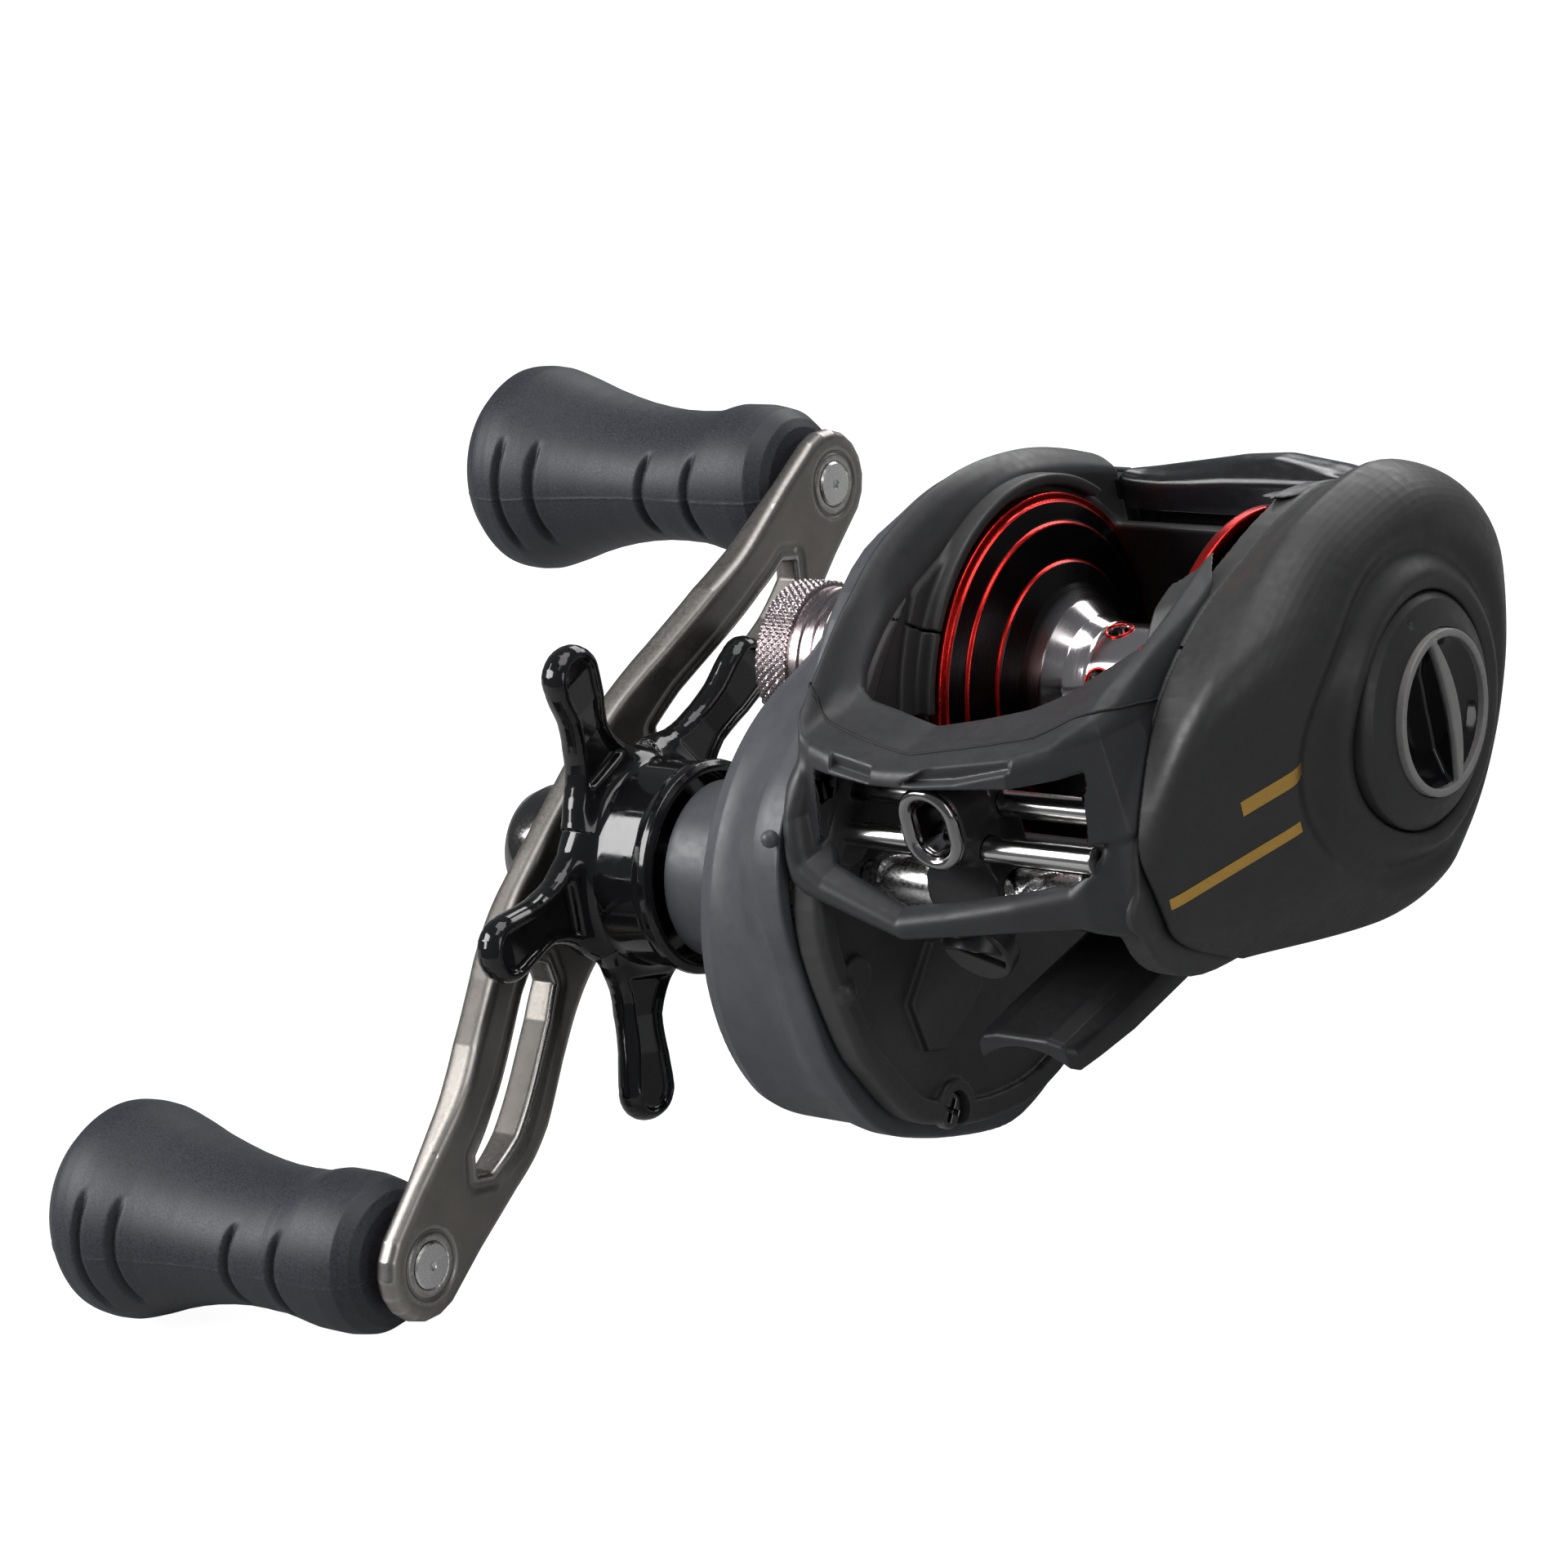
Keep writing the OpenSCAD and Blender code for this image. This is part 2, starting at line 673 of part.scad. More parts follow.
module dial_bezel() {
    color("#26272a") turned([[8.5, 27.6], [12, 27.6], [12, 30.4], [8.9, 31.6], [8.5, 31.6]]);
}

module brake_dial() {
    color("#0e0e10") {
        difference() {
            disc(24.6, 31.9, 8.4);
            disc(24, 28.6, 7);
        }
        slab(31.8, 33) square([1.5, 14.4], center = true);
    }
}

module magnet_holder() {
    color("#46474b") difference() {
        tube(19.4, 20.8, 12.6, 7.2);
        for (a = [0:45:315]) disc(19, 20.4, 1.9, polar(9.9, a));
    }
}

module brake_magnets() {
    color("#a7aaae") for (a = [0:45:315]) disc(18.4, 20.4, 1.88, polar(9.9, a));
}

main_frame();
front_cover();
gear_cover();
palm_cover();
reel_foot();
foot_screws();
case_screws();
spool();
spool_shaft();
spool_pin();
crank_end_bearing();
palm_end_bearing();
tension_shim();
tension_knob();
pinion_gear();
clutch_yoke();
yoke_posts();
clutch_cam();
thumb_bar();
drive_shaft();
drive_inner_bearing();
drive_outer_bearing();
ratchet_wheel();
level_drive_gear();
main_gear();
drag_washers();
roller_sleeve();
roller_clutch();
spring_washers();
star_wheel();
crank_arm();
crank_nut();
nut_cap();
knob_spindles();
knob_a();
knob_b();
knob_bushings();
worm_shaft();
worm_gear();
worm_bushing();
guide_rods();
line_guide();
guide_insert();
worm_pawl();
pawl_cap();
brake_dial();
dial_bezel();
magnet_holder();
brake_magnets();
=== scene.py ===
from concurrent.futures import ThreadPoolExecutor

import bpy
import numpy as np
import openvdb as vdb
from mathutils import Matrix, Vector


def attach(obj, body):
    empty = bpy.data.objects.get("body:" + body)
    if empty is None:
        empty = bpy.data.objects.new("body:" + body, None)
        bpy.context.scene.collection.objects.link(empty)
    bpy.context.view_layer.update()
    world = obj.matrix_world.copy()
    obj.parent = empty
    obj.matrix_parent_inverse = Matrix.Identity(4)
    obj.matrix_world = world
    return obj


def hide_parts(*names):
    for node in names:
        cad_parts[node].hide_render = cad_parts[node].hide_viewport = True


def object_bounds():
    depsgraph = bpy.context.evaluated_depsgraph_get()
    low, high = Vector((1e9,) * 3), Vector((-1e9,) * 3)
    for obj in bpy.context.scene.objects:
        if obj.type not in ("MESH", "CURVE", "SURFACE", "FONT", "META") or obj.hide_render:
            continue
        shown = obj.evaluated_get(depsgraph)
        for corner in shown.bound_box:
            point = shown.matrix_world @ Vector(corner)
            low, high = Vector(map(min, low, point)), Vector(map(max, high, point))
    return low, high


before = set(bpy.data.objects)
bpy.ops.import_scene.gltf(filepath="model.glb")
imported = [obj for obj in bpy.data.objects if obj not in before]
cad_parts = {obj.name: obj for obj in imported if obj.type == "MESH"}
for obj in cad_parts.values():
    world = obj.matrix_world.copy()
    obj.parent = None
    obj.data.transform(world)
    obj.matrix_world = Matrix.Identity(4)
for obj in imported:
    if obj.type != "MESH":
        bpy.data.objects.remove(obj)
cad_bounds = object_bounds()

# All shapes below are worked out in millimetres in the row frame and built in metres:
# X runs along the spool axle (crank on -X, dial on +X), -Y is the front, +Z is up.
MM = 0.001
DRIVE = (-14.5, -18.366)     # crank axis, as (y, z)
WORM = (-31.6, -5.75)        # level-wind worm axis
ROD_LOW = (-33.8, 0.4)
ROD_HIGH = (-29.8, 3.2)
VOXEL = 0.22


# ---- Distance fields: every function takes points (n, 3) and gives signed distances ----------
def smin(a, b, r):
    """Union with a fillet of radius about r."""
    h = np.maximum(r - np.abs(a - b), 0.0) / r
    return np.minimum(a, b) - h * h * r * 0.25


def smax(a, b, r):
    """Intersection with an edge rounded by about r."""
    return -smin(-a, -b, r)


def cut(a, b, r):
    """a with b taken away, its new edge rounded by about r."""
    return smax(a, -b, r)


def polar(p, c=(0.0, 0.0)):
    """Radius and angle (radians, from +Y towards +Z) about an axis along X."""
    y = p[:, 1] - c[0]
    z = p[:, 2] - c[1]
    return np.hypot(y, z), np.arctan2(z, y)


def box(p, lo, hi, r=0.0):
    c = (np.array(lo) + np.array(hi)) / 2
    h = (np.array(hi) - np.array(lo)) / 2 - r
    q = np.abs(p - c) - h
    return np.linalg.norm(np.maximum(q, 0), axis=1) + np.minimum(q.max(axis=1), 0) - r


def drum(p, x0, x1, rad, c=(0.0, 0.0), r=0.0):
    """Cylinder along X with rounded rims."""
    d = np.hypot(p[:, 1] - c[0], p[:, 2] - c[1]) - rad + r
    e = np.abs(p[:, 0] - (x0 + x1) / 2) - (x1 - x0) / 2 + r
    return np.hypot(np.maximum(d, 0), np.maximum(e, 0)) + np.minimum(np.maximum(d, e), 0) - r


def outline(u, v, pts, r=0.0):
    """Signed distance to a closed outline in 2-D, grown by r (which also rounds its corners)."""
    pts = np.asarray(pts, float)
    best = np.full(u.shape, 1e18)
    sign = np.ones(u.shape)
    n = len(pts)
    for i in range(n):
        a, b = pts[i], pts[i - 1]
        ex, ey = b[0] - a[0], b[1] - a[1]
        wx, wy = u - a[0], v - a[1]
        t = np.clip((wx * ex + wy * ey) / (ex * ex + ey * ey), 0, 1)
        best = np.minimum(best, (wx - ex * t) ** 2 + (wy - ey * t) ** 2)
        c1, c2, c3 = v >= a[1], v < b[1], ex * wy > ey * wx
        flip = (c1 & c2 & c3) | (~c1 & ~c2 & ~c3)
        sign = np.where(flip, -sign, sign)
    return sign * np.sqrt(best) - r


def slab(d2, x, x0, x1, r=0.0):
    """A 2-D distance d2 extruded between two stations along x, edges rounded by r."""
    e = np.abs(x - (x0 + x1) / 2) - (x1 - x0) / 2 + r
    d = d2 + r
    return np.hypot(np.maximum(d, 0), np.maximum(e, 0)) + np.minimum(np.maximum(d, e), 0) - r


def turned(p, pts, c=(0.0, 0.0), r=0.0):
    """A profile of (radius, x) points turned about an axis along X."""
    rad = np.hypot(p[:, 1] - c[0], p[:, 2] - c[1])
    return outline(rad, p[:, 0], pts, r)


def smooth_loop(pts, n=6):
    """Closed Catmull-Rom curve through the points."""
    pts = np.asarray(pts, float)
    out = []
    m = len(pts)
    for i in range(m):
        a, b, c, d = pts[i - 1], pts[i], pts[(i + 1) % m], pts[(i + 2) % m]
        for k in range(n):
            t = k / n
            out.append(0.5 * (2 * b + (c - a) * t + (2 * a - 5 * b + 4 * c - d) * t ** 2
                              + (3 * b - a - 3 * c + d) * t ** 3))
    return np.array(out)


def step(v, a, b):
    t = np.clip((v - a) / (b - a), 0, 1)
    return t * t * (3 - 2 * t)


def to_crank(p):
    """Coordinates in the crank's own frame: x, distance along the arm, distance across it."""
    a = np.radians(26.2)
    y, z = p[:, 1] - DRIVE[0], p[:, 2] - DRIVE[1]
    return p[:, 0], y * np.cos(a) + z * np.sin(a), -y * np.sin(a) + z * np.cos(a)


# ---- Meshing a field ------------------------------------------------------------------------
pool = ThreadPoolExecutor(4)


def evaluate(field, pts):
    parts = np.array_split(pts, max(1, len(pts) // 60000))
    return np.concatenate(list(pool.map(field, parts)))


def mesh_field(field, lo, hi, voxel=None, lip=1.25):
    """Closed quad mesh of the field's zero surface inside the box, with its vertices moved onto it."""
    h = voxel or VOXEL
    lo = np.asarray(lo, float) - 2 * h
    hi = np.asarray(hi, float) + 2 * h
    side = 8
    cells = [np.arange(int(np.ceil((hi[k] - lo[k]) / (h * side * 4)))) for k in range(3)]
    big = np.stack(np.meshgrid(*cells, indexing="ij"), -1).reshape(-1, 3) * 4
    reach = 0.8661 * h * side * lip
    centre = lo + (big + 2) * side * h
    big = big[np.abs(evaluate(field, centre)) < reach * 4]
    sub = np.stack(np.meshgrid(*[np.arange(4)] * 3, indexing="ij"), -1).reshape(-1, 3)
    small = (big[:, None] + sub[None]).reshape(-1, 3)
    centre = lo + (small + 0.5) * side * h
    small = small[np.abs(evaluate(field, centre)) < reach + 1.5 * h]
    inner = np.stack(np.meshgrid(*[np.arange(side)] * 3, indexing="ij"), -1).reshape(-1, 3)
    grid = vdb.FloatGrid(4 * h)
    for start in range(0, len(small), 2000):
        block = small[start:start + 2000]
        idx = block[:, None] * side + inner[None]
        val = evaluate(field, (lo + idx.reshape(-1, 3) * h)).reshape(len(block), side, side, side)
        val = np.clip(val, -4 * h, 4 * h)
        for b, v in zip(block, val):
            grid.copyFromArray(np.ascontiguousarray(v), ijk=tuple(int(i) for i in b * side))
    grid.signedFloodFill()
    pts, quads = grid.convertToQuads(isovalue=0.0)
    pts = lo + pts * h
    for _ in range(2):
        pts = pts - project(field, pts, h)
    return pts, quads, gradient(field, pts, 0.35 * h)


def gradient(field, pts, e):
    k = np.array([[1, -1, -1], [-1, -1, 1], [-1, 1, -1], [1, 1, 1]], float)
    g = sum(kk * evaluate(field, pts + kk * e)[:, None] for kk in k)
    return g / (4 * e)


def project(field, pts, h):
    d = evaluate(field, pts)
    g = gradient(field, pts, 0.3 * h)
    s = d / np.maximum((g * g).sum(1), 0.2)
    return np.clip(s, -0.6 * h, 0.6 * h)[:, None] * g


def add_mesh(name, pts, faces, normals=None, finish=None):
    """Mesh object from points in millimetres; finish names its material."""
    me = bpy.data.meshes.new(name)
    me.vertices.add(len(pts))
    me.vertices.foreach_set("co", (np.asarray(pts, float) * MM).ravel())
    faces = np.asarray(faces)
    n = faces.shape[1]
    me.loops.add(faces.size)
    me.loops.foreach_set("vertex_index", faces.ravel())
    me.polygons.add(len(faces))
    me.polygons.foreach_set("loop_start", np.arange(0, faces.size, n))
    me.update(calc_edges=True)
    me.validate()
    me.polygons.foreach_set("use_smooth", np.ones(len(me.polygons), bool))
    if normals is not None:
        nn = normals / np.maximum(np.linalg.norm(normals, axis=1, keepdims=True), 1e-9)
        me.normals_split_custom_set_from_vertices(nn)
    ob = bpy.data.objects.new(name, me)
    bpy.context.scene.collection.objects.link(ob)
    if finish is not None:
        me.materials.append(MAT[finish])
    return ob


# ---- Materials ------------------------------------------------------------------------------
class Shader:
    """Builds a node tree with short calls; links are made by passing sockets as inputs."""

    def __init__(self, name):
        self.mat = bpy.data.materials.new(name)
        self.mat.use_nodes = True
        self.tree = self.mat.node_tree
        self.bsdf = self.tree.nodes["Principled BSDF"]
        self.coord = self.node("ShaderNodeTexCoord").outputs["Object"]

    def node(self, kind, inputs=None, **props):
        n = self.tree.nodes.new(kind)
        for k, v in props.items():
            setattr(n, k, v)
        for k, v in (inputs or {}).items():
            self.put(n.inputs[k], v)
        return n

    def put(self, socket, value):
        if isinstance(value, bpy.types.NodeSocket):
            self.tree.links.new(value, socket)
        else:
            socket.default_value = value

    def math(self, op, a, b=0.0, c=0.0):
        return self.node("ShaderNodeMath", {0: a, 1: b, 2: c}, operation=op).outputs[0]

    def noise(self, scale, detail=4.0, rough=0.5, stretch=None):
        vec = self.coord
        if stretch:
            vec = self.node("ShaderNodeMapping", {"Vector": vec, "Scale": stretch}).outputs[0]
        return self.node("ShaderNodeTexNoise", {"Vector": vec, "Scale": scale, "Detail": detail,
                                                "Roughness": rough}).outputs["Fac"]

    def between(self, fac, lo, hi, a=0.0, b=1.0):
        """fac mapped from a..b to lo..hi."""
        return self.node("ShaderNodeMapRange", {"Value": fac, "From Min": a, "From Max": b, "To Min": lo,
                                                "To Max": hi}).outputs[0]

    def mix(self, fac, a, b):
        n = self.node("ShaderNodeMix", data_type="RGBA")
        self.put(n.inputs["Factor"], fac)
        self.put(n.inputs["A"], a)
        self.put(n.inputs["B"], b)
        return n.outputs["Result"]

    def bump(self, height, strength, distance):
        old = self.bsdf.inputs["Normal"]
        n = self.node("ShaderNodeBump", {"Height": height, "Strength": strength, "Distance": distance})
        if old.is_linked:
            self.put(n.inputs["Normal"], old.links[0].from_socket)
        self.put(old, n.outputs[0])

    def xyz(self):
        return self.node("ShaderNodeSeparateXYZ", {0: self.coord}).outputs

    def radius(self, c=(0.0, 0.0)):
        """Distance from an axis along X, in metres."""
        s = self.xyz()
        dy = self.math("SUBTRACT", s[1], c[0] * MM)
        dz = self.math("SUBTRACT", s[2], c[1] * MM)
        return self.math("SQRT", self.math("ADD", self.math("MULTIPLY", dy, dy),
                                           self.math("MULTIPLY", dz, dz)))


def rgb(r, g, b):
    return (r, g, b, 1.0)


def plastic(name, colour, rough, grain=0.35, mottle=0.25, spec=0.45):
    """Moulded plastic: faint large mottling, fine grain in the surface, slightly uneven gloss."""
    s = Shader(name)
    lo = rgb(*[c * (1 - mottle) for c in colour])
    hi = rgb(*[c * (1 + mottle) for c in colour])
    s.put(s.bsdf.inputs["Base Color"], s.mix(s.noise(320, 6.0, 0.6), lo, hi))
    s.put(s.bsdf.inputs["Roughness"], s.between(s.noise(900, 4.0), rough - 0.05, rough + 0.07, 0.3, 0.7))
    s.put(s.bsdf.inputs["Specular IOR Level"], spec)
    s.bump(s.noise(5200, 2.0), grain, 0.00002)
    return s.mat


def metal(name, colour, rough, streak=None, grain=0.15, vary=0.12):
    """Bare or plated metal: uneven roughness, with fine tool marks along or around it if asked."""
    s = Shader(name)
    s.put(s.bsdf.inputs["Metallic"], 1.0)
    lo = rgb(*[c * (1 - vary) for c in colour])
    hi = rgb(*[min(1.0, c * (1 + vary)) for c in colour])
    s.put(s.bsdf.inputs["Base Color"], s.mix(s.noise(500, 5.0, 0.6), lo, hi))
    marks = s.noise(1500, 3.0, 0.6, streak) if streak else s.noise(2500, 3.0)
    s.put(s.bsdf.inputs["Roughness"], s.between(marks, rough * 0.7, rough * 1.35, 0.3, 0.7))
    s.bump(marks, grain, 0.00001)
    return s.mat


def grip_rubber():
    """Soft-touch grip: blue-black with a dense fine grain and a few pale specks."""
    s = Shader("grip_rubber")
    fine = s.noise(3800, 5.0, 0.7)
    s.put(s.bsdf.inputs["Base Color"], s.mix(s.between(fine, 0, 1, 0.35, 0.75), rgb(0.009, 0.010, 0.014),
                                             rgb(0.036, 0.038, 0.050)))
    s.put(s.bsdf.inputs["Roughness"], s.between(fine, 0.42, 0.62, 0.3, 0.7))
    s.bump(fine, 0.55, 0.00005)
    return s.mat


def spool_finish():
    """Black polished turning with concentric marks, three bright red rings and a silver arbor."""
    s = Shader("spool_turned")
    rad = s.radius()
    x = s.math("ABSOLUTE", s.xyz()[0])
    turn = s.node("ShaderNodeTexNoise", {"W": s.math("MULTIPLY", rad, 22000.0), "Scale": 1.0, "Detail": 3.0},
                  noise_dimensions="1D").outputs["Fac"]

    def ring(lo, hi):
        return s.math("MULTIPLY", s.math("GREATER_THAN", rad, lo * MM), s.math("LESS_THAN", rad, hi * MM))

    red = s.math("ADD", ring(15.85, 16.15), s.math("ADD", ring(12.05, 12.35), ring(18.0, 20.0)))
    inside = s.math("GREATER_THAN", x, 3.0 * MM)
    silver = s.between(rad, 1.0, 0.0, 6.6 * MM, 9.5 * MM)
    base = s.mix(silver, rgb(0.035, 0.033, 0.034), rgb(0.74, 0.69, 0.70))
    base = s.mix(s.math("MULTIPLY", red, inside), base, rgb(0.85, 0.035, 0.03))
    s.put(s.bsdf.inputs["Base Color"], base)
    s.put(s.bsdf.inputs["Metallic"], 1.0)
    outer = s.between(rad, 0.0, 1.0, 7.0 * MM, 9.5 * MM)
    rough = s.math("MULTIPLY", s.between(turn, 0.16, 0.34, 0.3, 0.7), s.between(outer, 0.55, 1.0))
    s.put(s.bsdf.inputs["Roughness"], rough)
    s.bump(s.math("MULTIPLY", turn, outer), 0.22, 0.00001)
    return s.mat


def edged_metal(name, flat, edge, rough):
    """Blasted metal whose bevels are polished brighter and also lightened in colour as a painted highlight, found from
    how sharply the surface turns.
    """
    s = Shader(name)
    fine = s.noise(2600, 4.0, 0.65)
    point = s.node("ShaderNodeNewGeometry").outputs["Pointiness"]
    bevel_polish_and_highlight = s.between(point, 0.0, 1.0, 0.505, 0.53)
    s.put(s.bsdf.inputs["Metallic"], 1.0)
    tone = s.mix(s.noise(260, 5.0), rgb(*[c * 0.82 for c in flat]), rgb(*[c * 1.15 for c in flat]))
    # bevel colour: partly real polish, partly a painted edge highlight
    s.put(s.bsdf.inputs["Base Color"], s.mix(bevel_polish_and_highlight, tone, rgb(*edge)))
    s.put(s.bsdf.inputs["Roughness"], s.math("SUBTRACT", s.between(fine, rough - 0.05, rough + 0.08, 0.3, 0.7),
                                             s.math("MULTIPLY", bevel_polish_and_highlight, 0.16)))
    s.bump(fine, 0.3, 0.00002)
    return s.mat


MAT = {
    "frame": plastic("satin_black", (0.030, 0.0305, 0.0325), 0.42),
    "palm": plastic("satin_black_warm", (0.030, 0.0297, 0.0295), 0.44),
    # case colour lighter than the frame's: partly its own cooler grey, partly painted light matching the lit case side
    "case": plastic("satin_grey_black_with_painted_light", (0.066, 0.068, 0.077), 0.42),
    "inner": plastic("moulded_black", (0.036, 0.036, 0.0365), 0.42, 0.5),
    # foot colour darker than satin_black: painted shade under the reel
    "foot": plastic("foot_black", (0.022, 0.022, 0.024), 0.40),
    "gloss": plastic("gloss_black", (0.006, 0.006, 0.007), 0.09, 0.04, 0.2, 0.6),
    "thumb": plastic("thumb_black", (0.014, 0.014, 0.016), 0.22, 0.12),
    "grip": grip_rubber(),
    # the second colour of the arm and the knob is their bevel colour: polish plus painted highlight
    "arm": edged_metal("arm_gunmetal", (0.25, 0.232, 0.215), (0.48, 0.46, 0.44), 0.40),
    "knob": edged_metal("knob_anodised", (0.30, 0.25, 0.26), (0.62, 0.55, 0.56), 0.27),
    "steel": metal("ground_steel", (0.62, 0.61, 0.60), 0.17, (0.06, 1.0, 1.0)),
    "turned": metal("turned_steel", (0.66, 0.66, 0.65), 0.28),
    "dark": metal("dark_chrome", (0.20, 0.19, 0.19), 0.14),
    "bronze": metal("bronze", (0.60, 0.42, 0.20), 0.30),
    "gold": metal("gold_print", (0.62, 0.38, 0.10), 0.42, None, 0.4),
    "nylon": plastic("nylon", (0.70, 0.66, 0.55), 0.35),
    "carbon": plastic("carbon", (0.02, 0.02, 0.022), 0.5, 0.8),
    "spool": spool_finish(),
    "guide": plastic("guide_black", (0.020, 0.020, 0.022), 0.34, 0.4),
    "red": metal("red_anodised", (0.80, 0.03, 0.025), 0.2),
    "eye": metal("polished_black", (0.30, 0.29, 0.29), 0.14),
    "dialring": plastic("satin_rim", (0.26, 0.25, 0.245), 0.30, 0.12),
    "seam": plastic("seam_shadow", (0.004, 0.004, 0.004), 0.6, 0.1),
}


# ---- Small helpers for shapes ---------------------------------------------------------------
def arc(c, r, a0, a1, n):
    return [(c[0] + r * np.cos(np.radians(a)), c[1] + r * np.sin(np.radians(a))) for a in np.linspace(a0, a1, n)]


def bell(v, centre, width):
    return np.exp(-((v - centre) / width) ** 2)


def surface_table(xs, ys, rows, blur=0.35):
    """Smooth height function of (x, y) from a table: curved along y, straight between columns in x."""
    cell = 0.2
    xs, ys = np.asarray(xs, float), np.asarray(ys, float)
    gx = np.arange(xs[0], xs[-1] + cell, cell)
    gy = np.arange(ys[0], ys[-1] + cell, cell)
    rows = np.asarray(rows, float)
    slope = np.gradient(rows, ys, axis=0)
    k = np.clip(np.searchsorted(ys, gy) - 1, 0, len(ys) - 2)
    h = (ys[k + 1] - ys[k])[:, None]
    t = ((gy - ys[k])[:, None]) / h
    along = ((2 * t ** 3 - 3 * t ** 2 + 1) * rows[k] + (t ** 3 - 2 * t ** 2 + t) * h * slope[k]
             + (3 * t ** 2 - 2 * t ** 3) * rows[k + 1] + (t ** 3 - t ** 2) * h * slope[k + 1])
    grid = np.array([np.interp(gx, xs, row) for row in along])
    kernel = np.exp(-0.5 * (np.arange(-6, 7) * cell / blur) ** 2)
    kernel /= kernel.sum()
    pad = np.pad(grid, 6, mode="edge")
    pad = np.apply_along_axis(np.convolve, 0, pad, kernel, mode="valid")
    grid = np.apply_along_axis(np.convolve, 1, pad, kernel, mode="valid")

    def height(x, y):
        u = np.clip((x - xs[0]) / cell, 0, grid.shape[1] - 1.001)
        v = np.clip((y - ys[0]) / cell, 0, grid.shape[0] - 1.001)
        i, j = u.astype(int), v.astype(int)
        fu, fv = u - i, v - j
        top = grid[j, i] * (1 - fu) + grid[j, i + 1] * fu
        bot = grid[j + 1, i] * (1 - fu) + grid[j + 1, i + 1] * fu
        return top * (1 - fv) + bot * fv

    return height


def shell_piece(name, field, lo, hi, finish, node, body="body", voxel=None):
    """Mesh a field inside a box and let it stand in for a CAD node."""
    ob = add_mesh(name, *mesh_field(field, lo, hi, voxel), finish)
    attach(ob, body)
    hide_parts(node)
    return ob


# ---- Palm side cover ------------------------------------------------------------------------
SEAM_X = 17.8
PALM_SEAM = smooth_loop([(12.5, 18.1), (3, 19.2), (-6.4, 18), (-14.6, 16.3), (-23, 12.3), (-28.6, 6.1),
                         (-33.2, -2.8), (-32.7, -10.8), (-27.5, -15.9), (-18.2, -18.7), (-4, -20.8),
                         (7, -19.2), (14.4, -15.6), (20, -9.8), (22.8, -3), (23.2, 4), (20.8, 11.4)], 4)
PALM_GIRTH = smooth_loop([(10.4, 21.4), (1, 22.2), (-8, 21.3), (-17, 17.6), (-26, 11.8), (-32, 4.5),
                          (-34.6, -4), (-32.5, -11.8), (-26, -17.5), (-17, -20.9), (-4, -22.7), (2.4, -21.9),
                          (7.8, -19.8), (12.2, -17.2), (16, -13.8), (19.4, -9.4), (22.3, -3.8), (24.2, 2.6),
                          (24.6, 8.2), (22.6, 13.2), (18, 17.6)], 5)
PALM_SIDE = [(0, SEAM_X)] + [(10 - 10 * np.cos(a), 23.2 + 8.3 * np.sin(a)) for a in np.linspace(0, np.pi / 2, 18)] + [
    (45, 31.5), (45, SEAM_X)]
PLATE_AT, PLATE_N = np.array((30, -12, -2)), np.array((0.872, -0.476, -0.10))
UNDER_AT, UNDER_N = np.array((24.5, -20.2, -10.9)), np.array((0.70, -0.40, -0.59))


def palm_field(p):
    x, y, z = p.T
    grow = step(x, SEAM_X, 24.5)
    inward = -(outline(y, z, PALM_SEAM) * (1 - grow) + outline(y, z, PALM_GIRTH) * grow)
    d = outline(inward, x, PALM_SIDE)
    d = smax(d, (p - PLATE_AT) @ PLATE_N, 2.6)
    d = smax(d, (p - UNDER_AT) @ UNDER_N, 1.8)
    rad = np.hypot(y, z)
    d = d + 1.15 * bell(rad, 15.6, 1.5) * step(x, 22, 27) - 0.35 * bell(rad, 13.2, 0.9) * step(x, 24, 28)
    d = cut(d, drum(p, 26.4, 40, 11.75), 0.5)
    return cut(d, np.minimum(drum(p, 16, 24.6, 16.4), drum(p, 24, 26.41, 14)), 0.2)


# ---- Hood, front window frame and lip -------------------------------------------------------
HOOD_X = (-18.6, -16.2, -14.7, -4.5, 9, 13, 14.6, 16.2, 17.8)
HOOD_Z = {
    -40: (9.0, 10.0, 10.2, 10.2, 10.6, 10.5, 10, 9.5, 9),
    -36: (12.2, 11.2, 11.1, 10.6, 11.5, 11.5, 11, 10.5, 10),
    -34: (13.2, 11.4, 11.2, 10.6, 11.8, 12.0, 11.6, 11, 10),
    -32: (14.2, 11.7, 11.4, 10.5, 12.0, 12.8, 12.6, 11.8, 10),
    -30: (15.6, 12.4, 11.7, 10.5, 12.3, 13.6, 13.6, 12.6, 10.4),
    -27: (17.6, 14.2, 12.7, 10.4, 12.8, 14.4, 14.8, 13.9, 11.2),
    -24: (19.4, 16.3, 14.9, 10.4, 13.6, 14.9, 15.4, 14.9, 12.0),
    -21: (20.8, 18.2, 16.7, 10.5, 14.6, 15.4, 16.0, 15.7, 13.2),
    -17: (22.6, 20.3, 18.1, 12, 15.5, 16.2, 16.8, 16.4, 14.9),
    -12.7: (23.7, 21.7, 18.9, 14, 16.5, 17.4, 17.8, 17.2, 16.4),
    -8: (24.3, 22.4, 19.7, 16, 18.0, 18.6, 19.0, 18.4, 17.5),
    -3.3: (24.3, 22.7, 20.3, 17, 18.9, 19.7, 19.9, 19.3, 18.4),
    2: (23.7, 22.2, 20.3, 17, 19.2, 19.9, 19.9, 19.6, 19.1),
    7.2: (22.4, 21.1, 19.7, 17, 18.5, 19.3, 19.3, 19.1, 18.9),
    12: (20.7, 19.5, 17.8, 15, 17.0, 17.6, 17.8, 18.0, 18.3),
    17: (18.2, 17.2, 15.6, 13, 14.0, 15.0, 15.3, 15.7, 16.4),
    22: (15.1, 14.4, 13.2, 11, 11.6, 12.0, 12.4, 12.8, 13.4),
}
hood_top = surface_table(HOOD_X, list(HOOD_Z), list(HOOD_Z.values()))
